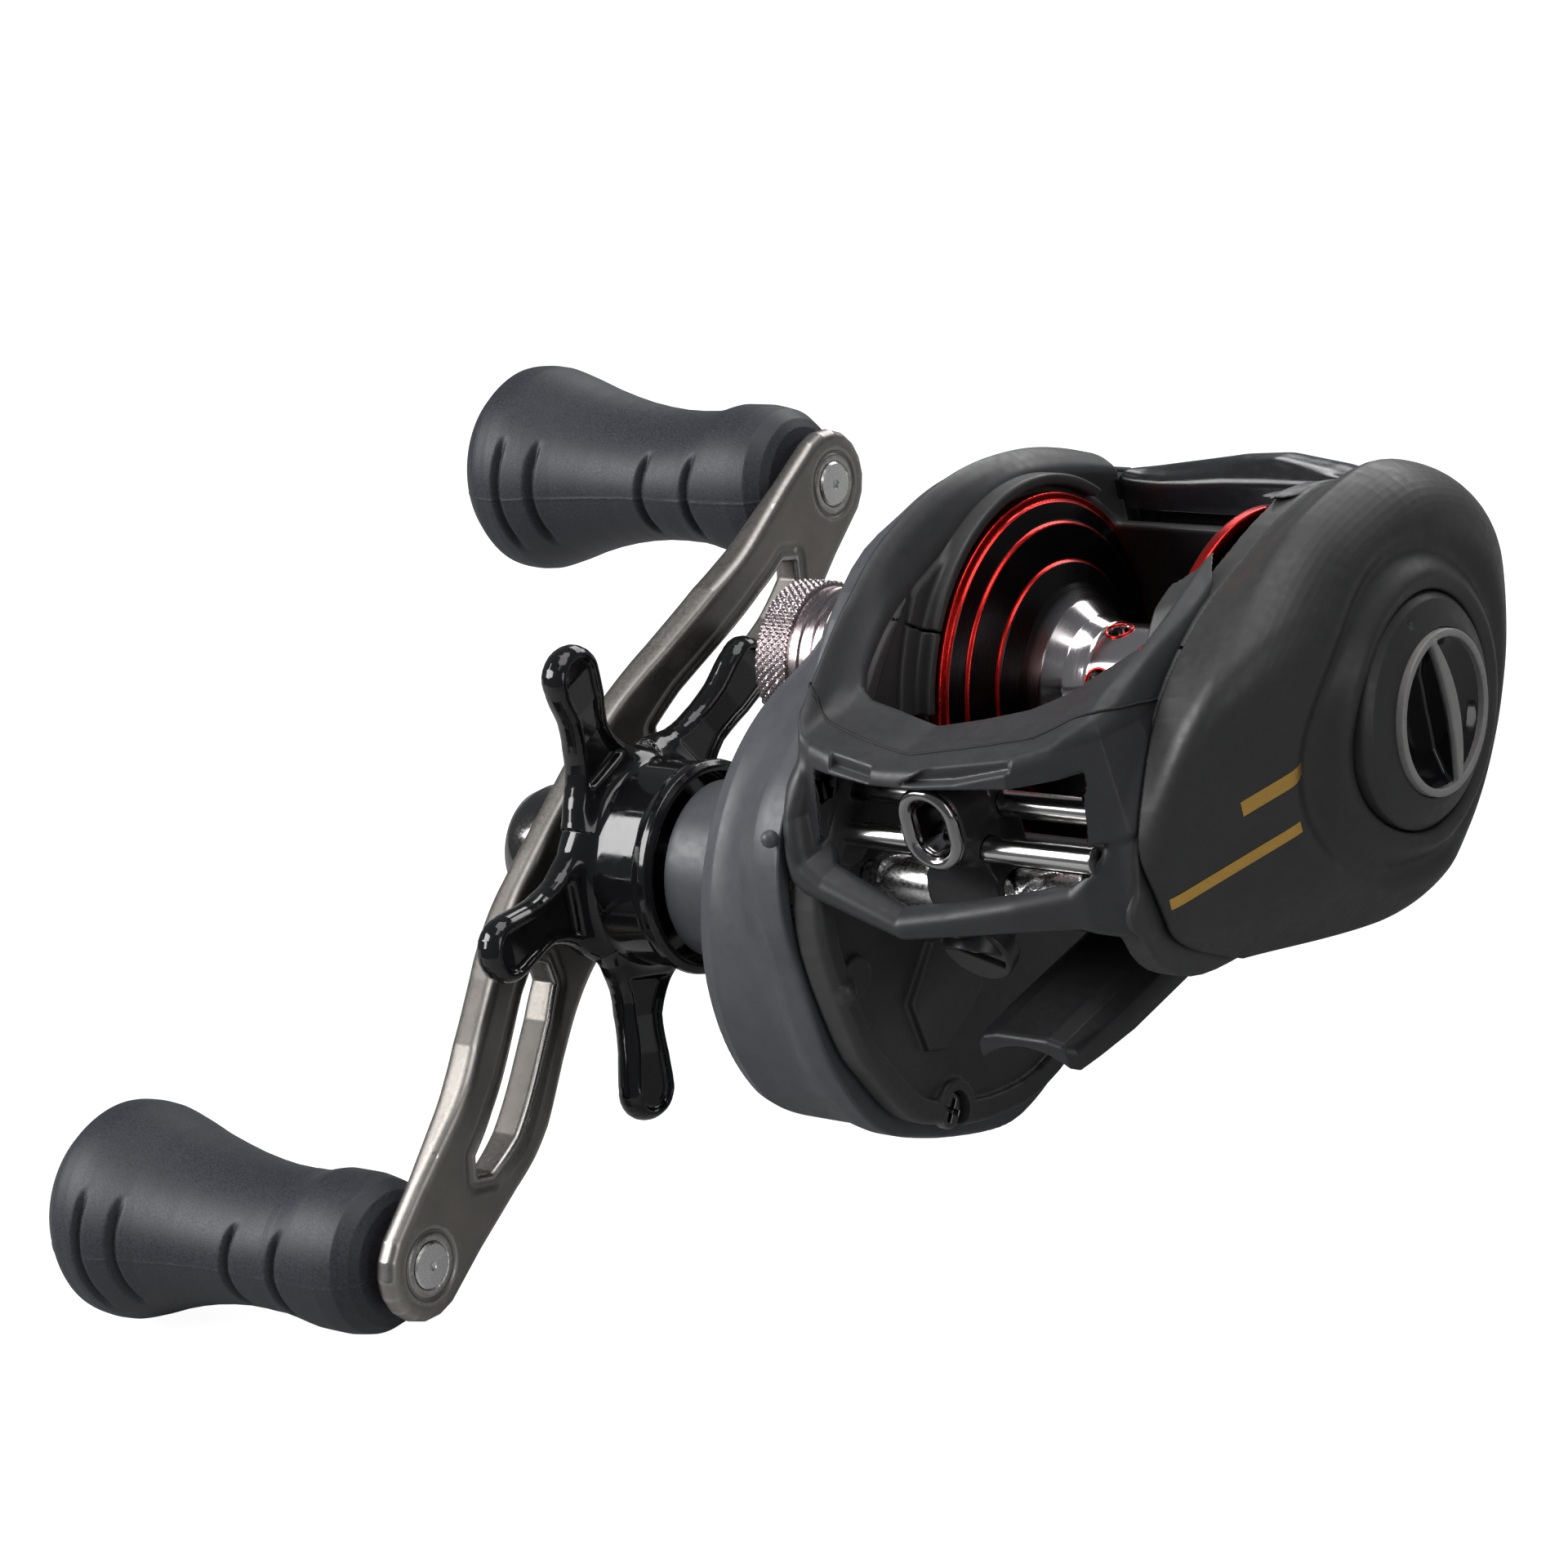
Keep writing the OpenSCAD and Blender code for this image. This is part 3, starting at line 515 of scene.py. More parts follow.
FRONT_Y = {
    -12: (-39.6, -40.2, -36.8, -34.2, -32.2),
    -6: (-40.6, -41.5, -38.4, -36.0, -33.8),
    0: (-41.0, -41.8, -38.4, -35.0, -32.0),
    5: (-39.4, -40.6, -37.4, -33.0, -29.2),
    10: (-35.8, -38.5, -35.6, -30.2, -24.8),
    15: (-32.6, -36.6, -33.5, -27.5, -20),
}
front_y = surface_table((-18.6, -5, 7, 14, 17.8), list(FRONT_Y), list(FRONT_Y.values()), 0.3)
OPENING = [(-14.7, 40), (-14.7, -25), (-14.2, -26.6), (-12.9, -27.3), (-9.4, -27.6), (-4.4, -28.4), (0.5, -27.7),
           (5.4, -26.7), (10.2, -24.2), (14.6, -20.2), (14.6, 40)]
LIP_PLAN = [(-19.2, -33), (-17.2, -35.2), (-15.2, -36.5), (-12.6, -37.4), (-6.5, -38.7), (-1.2, -38.7), (8.5, -36.9),
            (12.6, -34.2), (16, -30.6), (17.8, -26), (17.8, 30), (-19.2, 30)]
FRAME_EDGE = [(-16.5, 10), (-18.5, 7.6), (-18.5, 2), (-17.6, -1.6), (-16.2, -3.1), (-11, -4.9), (-5, -6.9), (7, -6.4), (12.5, -6.5),
              (17.8, -8.8), (17.8, 10)]
WINDOW = [(-14.2, 11), (-15.4, 4.7), (-14.8, 1.0), (-13, -0.5), (-5, -3.7), (0, -3.2), (11.9, -1.5), (14.4, 0.8),
          (15.8, 5.4), (16.4, 8.4), (15.4, 11)]
POCKET_LEFT = [(-11.6, 9.6), (-11.6, 12.0), (-10.6, 13), (-6.4, 13), (-6.4, 9.3)]
POCKET_RIGHT = [(-2.6, 9.4), (1.8, 11.4), (1.8, 13.5), (8.6, 13.5), (8.6, 10.6), (3, 9.6)]


def hood_field(p):
    x, y, z = p.T
    lip = outline(x, y, LIP_PLAN)
    solid = smax(lip + 0.22 * (np.minimum(z, 11.5) - 9), (z - hood_top(x, y)) * 0.72, 0.9)
    hole = outline(x, y, OPENING)
    solid = smax(solid, -hole, 0.7)
    deck_under = 8.9 - z
    side_under = np.where(np.abs(x) > 14.2, 2.0 - z, deck_under)
    solid = smax(solid, side_under, 0.5)
    rad = np.hypot(y, z)
    solid = smax(solid, 19.9 - rad, 0.4)
    solid = smax(solid, y - 19.6 - 2.2 * step(-x, 12.5, 14), 0.6)
    for shape in (POCKET_LEFT, POCKET_RIGHT):
        pocket = smax(outline(x, z, shape), y - lip_front(x) - 1.15, 0.3)
        solid = cut(solid, pocket, 0.45)
    return solid


def lip_front(x):
    return np.interp(x, [q[0] for q in LIP_PLAN[:10]], [q[1] for q in LIP_PLAN[:10]])


def window_frame_field(p):
    x, y, z = p.T
    skin = (front_y(x, z) - y) * 0.86
    back = y - front_y(x, z) - np.interp(x, [-15, -13, 10, 15], [6, 3.4, 2.2, 2.4])
    d = smax(outline(x, z, FRAME_EDGE), skin, 1.8)
    d = smax(d, back, 0.5)
    d = cut(d, box(p, (5, -34.6, -12), (14, -20, 1.5)), 0.2)
    return cut(d, outline(x, z, WINDOW) - 0.35 * np.clip(4 - (y - front_y(x, z)), 0, 4) + 0.7, 1.1)


def front_field(p):
    x, y, z = p.T
    d = smin(hood_field(p), window_frame_field(p), 0.7)
    side = -18.6 - x + 0.06 * np.maximum(0, -30 - y)
    d = smax(d, side, 1.6)
    return smax(d, x - SEAM_X + 0.05, 0.25)


# ---- Crank side case ------------------------------------------------------------------------
CASE_EDGE = smooth_loop([(-37.2, 3.2), (-40.8, -2.3), (-42.2, -9), (-40.9, -20.1), (-39, -25.2), (-35.3, -32),
                         (-30.7, -35.5), (-24, -39.1), (-14.5, -41.3), (-4, -39.4), (4, -34.4), (9.5, -27.6),
                         (14, -20), (19.6, -12), (22.2, -3), (22, 4), (18.8, 10.6), (12, 16.6), (3, 19.8),
                         (-6, 21.2), (-14, 21.3), (-22, 17.3), (-30, 9.8)], 3)
CASE_DRIVE = [(0, -17.9), (26, -17.9), (26, -27), (25.9, -31.2), (25.2, -32.9), (23.8, -33.7), (0, -33.7)]
CASE_SPOOL = [(0, -17.9), (21.2, -17.9), (21.2, -20), (20.4, -22.2), (18.4, -25), (15.6, -28), (13, -31),
              (10.6, -33.2), (9.4, -33.7), (0, -33.7)]
CASE_COLLAR = [(0, -33), (12.2, -33), (11.2, -33.9), (10.4, -34.6), (10.4, -36), (9.5, -37), (9.5, -51.4),
               (0, -51.4)]
CASE_WORM = [(0, -17.9), (12.4, -17.9), (11.9, -21.5), (9.5, -25), (4, -28), (0, -28.6)]


def case_field(p):
    x, y, z = p.T
    drive = turned(p, CASE_DRIVE, DRIVE)
    drive = smax(drive, -0.533 * (y - DRIVE[0]) - 0.846 * (z - DRIVE[1]) - 24.5, 3)
    spool = turned(p, CASE_SPOOL)
    worm = turned(p, CASE_WORM, (-29.6, -4.4))
    skirt = slab(outline(y, z, CASE_EDGE), x, -21, -17.9, 0.9)
    d = smin(smin(drive, spool, 5), smin(worm, skirt, 3), 4)
    d = smax(d, x + 17.95, 0.3)
    d = smin(d, turned(p, CASE_COLLAR, DRIVE), 0.5)
    d = smin(d, np.linalg.norm(p - (-18.3, -40.9, 3.2), axis=1) - 0.9, 0.2)
    d = smin(d, drum(p, -41, -33, 6.3), 0.8)
    inside = np.minimum(drum(p, -31.9, -17, 22.2, DRIVE), drum(p, -31.9, -17, 9.8))
    inside = np.minimum(inside, drum(p, -21.6, -17, 9.3, WORM))
    inside = np.minimum(inside, drum(p, -42, -31, 4.05))
    inside = np.minimum(inside, drum(p, -53, -31, 4.5, DRIVE))
    inside = np.minimum(inside, drum(p, -40, -30, 7.65, DRIVE))
    inside = np.minimum(inside, drum(p, -53, -44.6, 6.65, DRIVE))
    d = cut(d, inside, 0.2)
    r, a = polar(p, DRIVE)
    spin = (np.degrees(a) % 30) - 15
    slot = smax(np.abs(spin) * np.radians(1) * 9.5 - 0.75, np.abs(x + 40.5) - 1.4, 0.5)
    return cut(d, smax(slot, 8.9 - r, 0.2), 0.2)


# ---- Frame ----------------------------------------------------------------------------------
CASE_SCREWS = [(DRIVE[0] + 23.2 * np.cos(np.radians(a)), DRIVE[1] + 23.2 * np.sin(np.radians(a)))
               for a in (-62, 8, 105)] + [(-28.6, -34.8)]
FOOT_TOP = -21.2
ISLAND = [(-31.2, -20.6), (-30.4, -26.6), (-27.8, -28), (-20, -25.4), (-18, -19), (-26, -16.5)]


def frame_field(p):
    x, y, z = p.T
    rad = np.hypot(y, z)
    edge = outline(y, z, CASE_EDGE)
    left = slab(edge + 0.25, x, -17.85, -14.2, 1.0)
    inset = slab(smax(edge + 2.8, 23.4 - rad, 0.8), x, -15.2, -13, 0)
    keep = np.minimum(outline(y, z, ISLAND), np.hypot(y + 38, z + 13.6) - 2.2)
    for c in CASE_SCREWS:
        keep = np.minimum(keep, np.hypot(y - c[0], z - c[1]) - 3.3)
    left = cut(left, smax(inset, -keep, 0.4), 0.45)
    left = smax(left, z - hood_top(x, y) + 0.8, 0.3)
    guard = slab(smax(rad - 20.9, 19.7 - rad, 0.5), x, -15, -12.6, 0.4)
    guard = smax(guard, -outline(y, z, [(60, 13.6), (10, 13.6), (0, 0), (-7, -30), (60, -30)]), 0.3)
    left = smin(left, guard, 0.6)
    right = slab(outline(y, z, PALM_SEAM) + 0.35, x, 14.6, SEAM_X, 0.5)
    right = smax(right, 19.7 - 1.8 * step(x, 14.9, 15.4) - rad, 0.3)
    rim = slab(smax(rad - 21.1, 19.7 - rad, 0.5), x, 12.0, 15.2, 0.4)
    right = smin(right, smax(rim, z - hood_top(x, y) + 0.7, 0.3), 0.4)
    belly = slab(smax(rad - 21.15, 19.7 - rad, 0.3), x, -15, 15, 0.1)
    belly = smax(belly, np.where(y > 0, z - 8.8, z + 3.0 - 0.2 * y), 0.8)
    seat = box(p, (-6.4, -14, FOOT_TOP + 0.05), (6.4, 13, -16), 0.5)
    seat = smax(seat, 19.8 - rad, 0.2)
    d = smin(smin(left, right, 0.8), smin(belly, seat, 2.0), 1.2)
    d = smin(d, drum(p, -16, -14, 3.4, ROD_LOW, 0.6), 0.8)
    d = smin(d, drum(p, 14.2, 17.7, 2.7, WORM, 0.6), 0.8)
    d = smin(d, np.linalg.norm(p - (-14.6, -40.2, -13.9), axis=1) - 1.3, 0.3)
    d = cut(d, drum(p, -20, -10, 4.65), 0.3)
    d = cut(d, drum(p, -20, -15.6, 5.1, DRIVE), 0.1)
    d = cut(d, drum(p, -20, -10, 1.6, WORM), 0.1)
    d = cut(d, drum(p, 10, 17, 2.2, WORM), 0.1)
    d = cut(d, box(p, (-16.9, 20.3, 6.3), (-13, 22.7, 13.7), 0.1), 0.1)
    d = np.minimum(d, box(p, (-17.8, 22.8, 3.0), (-14.3, 23.6, 12.6), 0.2))
    d = np.minimum(d, box(p, (-17.8, 19.5, 2.0), (-14.1, 23.6, 6.0), 0.2))
    for c in CASE_SCREWS:
        d = cut(d, drum(p, -16.2, -10, 2.15, c), 0.2)
    groove = np.abs(z * np.cos(0.70) + y * np.sin(0.70) - 0.0) - 0.13
    d = cut(d, smax(groove, smax(-y - 30, 18 - rad, 0.1), 0.1), 0.1)
    for y0 in (-6, 6):
        d = cut(d, np.maximum(np.hypot(x, y - y0) - 1.9, np.abs(z + 18.4) - 2.0), 0.1)
    return d


# ---- Foot -----------------------------------------------------------------------------------
FOOT_PLAN = [(-5.2, -33.4), (5.2, -33.4), (6, -32.6), (7, -24), (7, 18), (5.9, 27), (-5.9, 27), (-7, 18), (-7, -24),
             (-6, -32.6)]
FOOT_END = [(-7, -25.0), (-6.9, -23.9), (-6.2, -22.5), (-4.7, -21.6), (-3, -21.2), (3, -21.2), (4.7, -21.6), (6.2, -22.5),
            (6.9, -23.9), (7, -25.0)]
SADDLE_R, SADDLE_Z = 8.2, -30.6


def foot_field(p):
    x, y, z = p.T
    d = smax(outline(x, y, FOOT_PLAN), outline(x, z, FOOT_END), 0.8)
    d = smax(d, SADDLE_R - np.hypot(x, z - SADDLE_Z), 0.4)
    for y0 in (-6, 6):
        d = cut(d, np.maximum(np.hypot(x, y - y0) - 1.15, np.abs(z + 20) - 4), 0.1)
    return d


# ---- Spool ----------------------------------------------------------------------------------
FLANGE = [(6.3, 4.4), (6.9, 6.4), (8.3, 8.2), (10, 9.4), (12.0, 10.4), (12.25, 10.75), (15.9, 11.45), (16.15, 11.8),
          (18.0, 12.35), (18.2, 12.7), (18.9, 12.75), (19, 12.9), (19, 13.9), (18.9, 14), (18.0, 14), (13, 12.6),
          (8.4, 9.6), (5, 5.2)]


def spool_field(p):
    x, y, z = p.T
    rad = np.hypot(y, z)
    d = outline(rad, np.abs(x), FLANGE)
    tube = np.maximum(np.abs(rad - 5.65) - 0.65, np.abs(x) - 6)
    d = smin(d, tube, 0.4)
    hub = np.maximum(np.abs(rad - 3.9) - 2.4, np.abs(x - 12.9) - 0.7)
    d = smin(d, np.maximum(hub, 2.6 - rad), 0.2)
    d = smin(d, np.maximum(np.abs(rad - 5.65) - 0.65, np.abs(x - 9) - 4.2), 0.2)
    angle = np.degrees(np.arctan2(z, y))
    for x0, turn in ((-2.6, 90), (2.6, 120)):
        a = (angle - turn + 30) % 60 - 30
        hole = np.hypot(rad * np.sin(np.radians(a)), x - x0) - 1.2
        d = cut(d, np.maximum(hole, 3.5 - rad), 0.25)
    return d


# ---- Star wheel, crank arm, knobs -----------------------------------------------------------
STAR_HUB = [(0, -51.2), (10.9, -51.2), (11.5, -51.7), (11.6, -52.4), (11.1, -53.6), (11.1, -59), (11.6, -61),
            (11.2, -63), (9.6, -64.2), (6.5, -64.8), (0, -64.8)]
STAR_ARM = smooth_loop([(7, -8), (11.5, -5.4), (14.5, -3.5), (18, -3.0), (22, -3.5), (25.6, -3.7), (27.8, -2.2), (28.4, 0.4),
                        (27.2, 2.8), (24.6, 3.6), (20.5, 3.1), (17, 3.2), (13.8, 4.6), (11, 7.2), (6, 10)], 3)


def star_field(p):
    x, y, z = p.T
    r, a = polar(p, DRIVE)
    fold = np.radians((np.degrees(a) - 29 + 36) % 72 - 36)
    u, v = r * np.cos(fold), r * np.sin(fold)
    mid = np.interp(u, [9, 13, 17, 21, 25, 29], [-61.4, -61.7, -61.4, -60.3, -59.7, -59.9])
    arm2 = outline(u, v, STAR_ARM)
    arm = smax(arm2, np.abs(x - mid) - 1.9, 2.2)
    pocket = smax(arm2 + 1.35, mid + 0.9 - x, 0.5)
    pocket = smax(pocket, 12.8 - u, 0.8)
    arm = cut(arm, pocket, 0.6)
    d = smin(turned(p, STAR_HUB, DRIVE), arm, 1.6)
    d = cut(d, drum(p, -70, -50, 2.85, DRIVE), 0.1)
    return cut(d, drum(p, -55, -49, 10.3, DRIVE), 0.3)


ARM_REACH = 51.4
ARM_SIDE = [(38, 7.6), (30, 8.5), (22, 8.5), (14, 8.8), (6, 9), (0, 9), (-6, 9), (-14, 8.8), (-22, 8.5),
            (-30, 8.5), (-38, 7.6)]
ARM_PLAN = (arc((ARM_REACH, 0), 6.1, -80, 80, 9) + ARM_SIDE + arc((-ARM_REACH, 0), 6.1, 100, 260, 9)
            + [(u, 1.1 - v) for u, v in ARM_SIDE[::-1]])
ARM_SLOT = [(15.6, -2.0), (14.6, 0), (15.6, 2.0), (20, 2.6), (34, 2.4), (39, 1.6), (40.4, 0), (39, -1.6),
            (34, -2.4), (20, -2.6)]


def arm_mid(s):
    s = np.abs(s)
    return -68.6 + 5.8 * step(s, 10, 38)


def arm_field(p):
    x, s, t = to_crank(p)
    slope = 0.40 * bell(np.abs(s), 24, 11)
    thick = np.interp(np.abs(s), [10, 20, 34, 46], [1.65, 2.0, 2.0, 1.35])
    plate = (np.abs(x - arm_mid(s)) - thick) / np.sqrt(1 + slope ** 2)
    d = smax(outline(s, t, ARM_PLAN), plate, 1.4)
    slot = outline(np.abs(s), t, ARM_SLOT)
    d = cut(d, slot, 0.9)
    d = d + 0.35 * bell(slot, 1.3, 0.6) * step(x - arm_mid(s), 0, 0.8)
    ring = np.hypot(np.abs(s) - ARM_REACH, t)
    d = d + 0.22 * bell(ring, 3.6, 0.22) * step(x, -62, -61.6)
    d = cut(d, np.maximum(ring - 2.56, -62.3 - x), 0.08)
    d = cut(d, ring - 2.1, 0.05)
    flat = np.maximum(np.hypot(s, t) - 2.84, np.abs(z_flat(s, t)) - 2.24)
    return cut(d, flat, 0.05)


def z_flat(s, t):
    a = np.radians(26.2)
    return s * np.sin(a) + t * np.cos(a)


KNOB_BAND = [(0, -110.5), (4.5, -110.3), (7.6, -109.4), (10.2, -107.6), (11.8, -105.6), (12.3, -103.4), (12.0, -101),
             (11.2, -98), (10.4, -95), (9.7, -91), (9.2, -87), (8.9, -82), (8.8, -78), (8.8, -74), (8.7, -70.5),
             (8.2, -68.2), (7.2, -66.6), (6.2, -65.9), (5, -65.7), (0, -65.7)]
KNOB_FACE = {-110.5: 9.5, -108: 11.4, -105: 12.1, -102: 11.9, -99: 10.9, -96: 9.8, -93: 8.9, -90: 8.2, -87: 7.7,
             -84: 7.4, -81: 7.35, -78: 7.5, -76.5: 7.8, -74: 8.6, -71: 8.8, -65.7: 8.8}
KNOB_CROWN = {-104: 0.0, -99: 1.1, -93: 2.1, -87: 2.5, -80: 2.5, -77: 1.8, -74: 0.4, -71: 0.0}
KNOB_GROOVES = (-101.9, -97.6, -82.9, -76.4)
KNOB_TURN = np.radians(33)


def along_knob(x, table):
    return np.interp(x, list(table), list(table.values()))


def knob_field(side):
    """Two dished broad faces meet a narrow band on each flank, which carries four grip grooves."""
    def field(p):
        x, s, t = to_crank(p)
        s = s - side * ARM_REACH
        u = -s * np.cos(KNOB_TURN) + t * np.sin(KNOB_TURN)
        w = s * np.sin(KNOB_TURN) + t * np.cos(KNOB_TURN)
        rad = np.hypot(s, t)
        crown = along_knob(x, KNOB_CROWN)
        face = np.hypot(u, np.abs(w) + crown) - along_knob(x, KNOB_FACE) - crown
        d = smax(face * 0.94, outline(rad, x, KNOB_BAND), 0.7)
        flank = np.degrees(np.arctan2(np.abs(w), np.abs(u)))
        reach = 1 - step(flank, 22, 40)
        for x0 in KNOB_GROOVES:
            d = d + 0.8 * reach * bell(x, x0 + 0.8 * (flank / 35) ** 2, 0.42)
        d = d - 0.07 * bell(w, 0, 0.16) * step(np.abs(u), 2, 4)
        d = cut(d, np.maximum(rad - 2.1, -107.1 - x), 0.1)
        return cut(d, np.maximum(rad - 3.55, -67.35 - x), 0.1)
    return field


# ---- Level wind -----------------------------------------------------------------------------
GUIDE_X = -1.1
EYE = (GUIDE_X, 4.2)


def eye_distance(p):
    """Distance in the X-Z plane from the short upright line at the middle of the eye."""
    dz = np.maximum(np.abs(p[:, 2] - EYE[1]) - 1.05, 0)
    return np.hypot(p[:, 0] - EYE[0], dz)


def carriage_field(p):
    x, y, z = p.T
    eye = eye_distance(p)
    tube = smax(eye - 3.35 - 0.03 * (y + 37), np.abs(y + 34.6) - 2.6, 0.6)
    side = np.abs(x - GUIDE_X)
    flare = 3.1 + np.where(x > GUIDE_X, 0.5, 1.9) * step(-z, -1.5, 5.5)
    body = smax(outline(y, z, [(-36.2, 2.6), (-31, 3.2), (-28, 1.6), (-27.9, -6), (-35.0, -6.6), (-36.2, -2)]), side - flare, 0.9)
    top = smax(outline(y, z, [(-32.6, 1), (-32, 5.6), (-29.8, 5.9), (-27.6, 4), (-27.6, -2)]), side - 3.1, 0.7)
    barrel = drum(p, GUIDE_X - 4.6, GUIDE_X + 3.6, 3.95, WORM, 0.6)
    d = smin(smin(tube, body, 1.2), smin(top, barrel, 0.8), 0.8)
    nose = pawl_frame(p)
    d = smin(d, np.maximum(np.hypot(nose[0], nose[1]) - 3.4, np.abs(nose[2] - 3.6) - 2.6), 0.7)
    d = cut(d, box(p, (-10, -50, -7.6), (6, -34.3, -0.6)), 0.3)
    d = cut(d, smax(eye - 2.72, y + 32.8, 0.1), 0.15)
    d = cut(d, smax(eye - 2.15, -33.2 - y, 0.1), 0.2)
    d = cut(d, drum(p, -12, 8, 1.36, ROD_LOW), 0.1)
    d = cut(d, drum(p, -12, 8, 1.36, ROD_HIGH), 0.1)
    d = cut(d, drum(p, -12, 8, 2.56, WORM), 0.1)
    return cut(d, np.maximum(np.hypot(nose[0], nose[1]) - 1.95, np.abs(nose[2] - 5) - 3.2), 0.1)


PAWL_TILT = 38


def pawl_frame(p):
    """Coordinates across, across and along the pawl, which points down and a little forward."""
    a = np.radians(PAWL_TILT)
    y, z = p[:, 1] - WORM[0], p[:, 2] - WORM[1]
    return p[:, 0] - GUIDE_X, y * np.cos(a) - z * np.sin(a), -y * np.sin(a) - z * np.cos(a)


def eye_ring_field(p):
    y = p[:, 1]
    eye = eye_distance(p)
    lip = np.hypot(eye - 2.72, y + 37.45) - 0.68
    sleeve = np.maximum(np.abs(eye - 2.4) - 0.28, np.abs(y + 35.2) - 2.2)
    return smin(lip, sleeve, 0.5)


CAP_AT = (-34.6, -10.2)
CAP_TILT = np.radians(72)
CAP_SLOT_TURN = np.radians(23)


def pawl_cap_field(p):
    """Slotted round cap whose face looks forward under the lower bar of the window frame."""
    y, z = p[:, 1] - CAP_AT[0], p[:, 2] - CAP_AT[1]
    u = p[:, 0] - GUIDE_X
    v = y * np.cos(CAP_TILT) - z * np.sin(CAP_TILT)
    w = -y * np.sin(CAP_TILT) - z * np.cos(CAP_TILT)
    d = smax(np.hypot(u, v) - 3.95, np.abs(w) - 1.1, 0.5)
    across = -u * np.sin(CAP_SLOT_TURN) + v * np.cos(CAP_SLOT_TURN)
    along = u * np.cos(CAP_SLOT_TURN) + v * np.sin(CAP_SLOT_TURN)
    slot = smax(np.abs(across) - 0.5, smax(np.abs(along) - 3.3, 0.1 - w, 0.1), 0.1)
    d = cut(d, slot, 0.15)
    return smax(d, p[:, 2] + 7.3, 0.2)


# ---- Thumb bar, dial ------------------------------------------------------------------------
THUMB_TOP = surface_table((-14.3, -12, -9, -5, -1, 4, 10, 14.3), (19, 20.6, 21.2, 22.5, 24.5, 26.5, 28, 29.5), [
    (12.0, 12.0, 12.0, 12.0, 12.4, 12.6, 12.8, 12.8),
    (12.9, 12.6, 12.6, 12.8, 13.2, 13.4, 13.5, 13.5),
    (13.2, 12.9, 12.8, 13.1, 13.5, 13.7, 13.8, 13.8),
    (13.0, 12.7, 12.8, 13.3, 14.0, 14.6, 13.9, 12.8),
    (12.1, 12.4, 12.9, 13.5, 14.1, 14.4, 13.4, 12.0),
    (11.2, 11.4, 11.8, 12.6, 13.4, 13.8, 12.8, 11.4),
    (10.2, 10.4, 10.8, 11.6, 12.4, 12.8, 12.0, 10.6),
    (9.4, 9.6, 9.8, 10.4, 11.2, 11.6, 10.8, 9.6)], 0.4)


def thumb_field(p):
    x, y, z = p.T
    d = smax((z - THUMB_TOP(x, y)) * 0.85, outline(y, z, [(20.4, 9.2), (20.4, 17), (29.2, 17), (29.2, 8.6), (27.6, 8.2),
                                                          (24, 9.6)]), 0.7)
    d = smin(d, box(p, (-13.8, 22, 5.4), (12.8, 23, 12), 0.3), 0.8)
    d = smax(d, np.abs(x) - 14.2, 0.6)
    return np.minimum(d, box(p, (-16.6, 20.6, 10.2), (-13.6, 22.4, 12.6), 0.2))


def dial_field(p):
    x, y, z = p.T
    rad = np.hypot(y, z)
    d = smax(rad - 7.5, x - np.interp(rad, [0, 4, 6.4, 7.6], [31.0, 31.2, 32.1, 33.1]), 0.3)
    d = smax(smax(d, 24.6 - x, 0.2), -smax(rad - 7, x - 28.6, 0.1), 0.1)
    return smin(d, smax(rib_plan(p) - 0.15, np.abs(x - 31.4) - 1.8, 0.2), 0.5)


def rib_plan(p):
    """Distance in the Y-Z plane from the bowed, lens-shaped grip rib across the dial."""
    bow = 1 - (p[:, 2] / 7.8) ** 2
    half = 0.35 + 0.5 * np.clip(bow, 0, 1)
    return smax(np.abs(p[:, 1] - 1.5 * bow) - half, np.abs(p[:, 2]) - 7.6, 0.2)


def dial_ring_field(p):
    x, y, z = p.T
    rad = np.hypot(y, z)
    rim = slab(np.abs(rad - 7.75) - 0.40, x, 28, 33.6, 0.2)
    return smin(rim, smax(rib_plan(p), np.abs(x - 33.3) - 0.45, 0.3), 0.3)


def bezel_field(p):
    x, y, z = p.T
    rad = np.hypot(y, z)
    face = np.interp(rad, [8.2, 9.0, 10.9, 11.6], [32.9, 32.7, 31.9, 31.2])
    d = smax(slab(np.abs(rad - 9.91) - 1.71, x, 27.5, 34, 0.15), x - face, 0.25)
    return d + 0.35 * bell(np.hypot(y + 1.1, z - 10.0), 0, 0.35) * step(x, 31, 31.5)


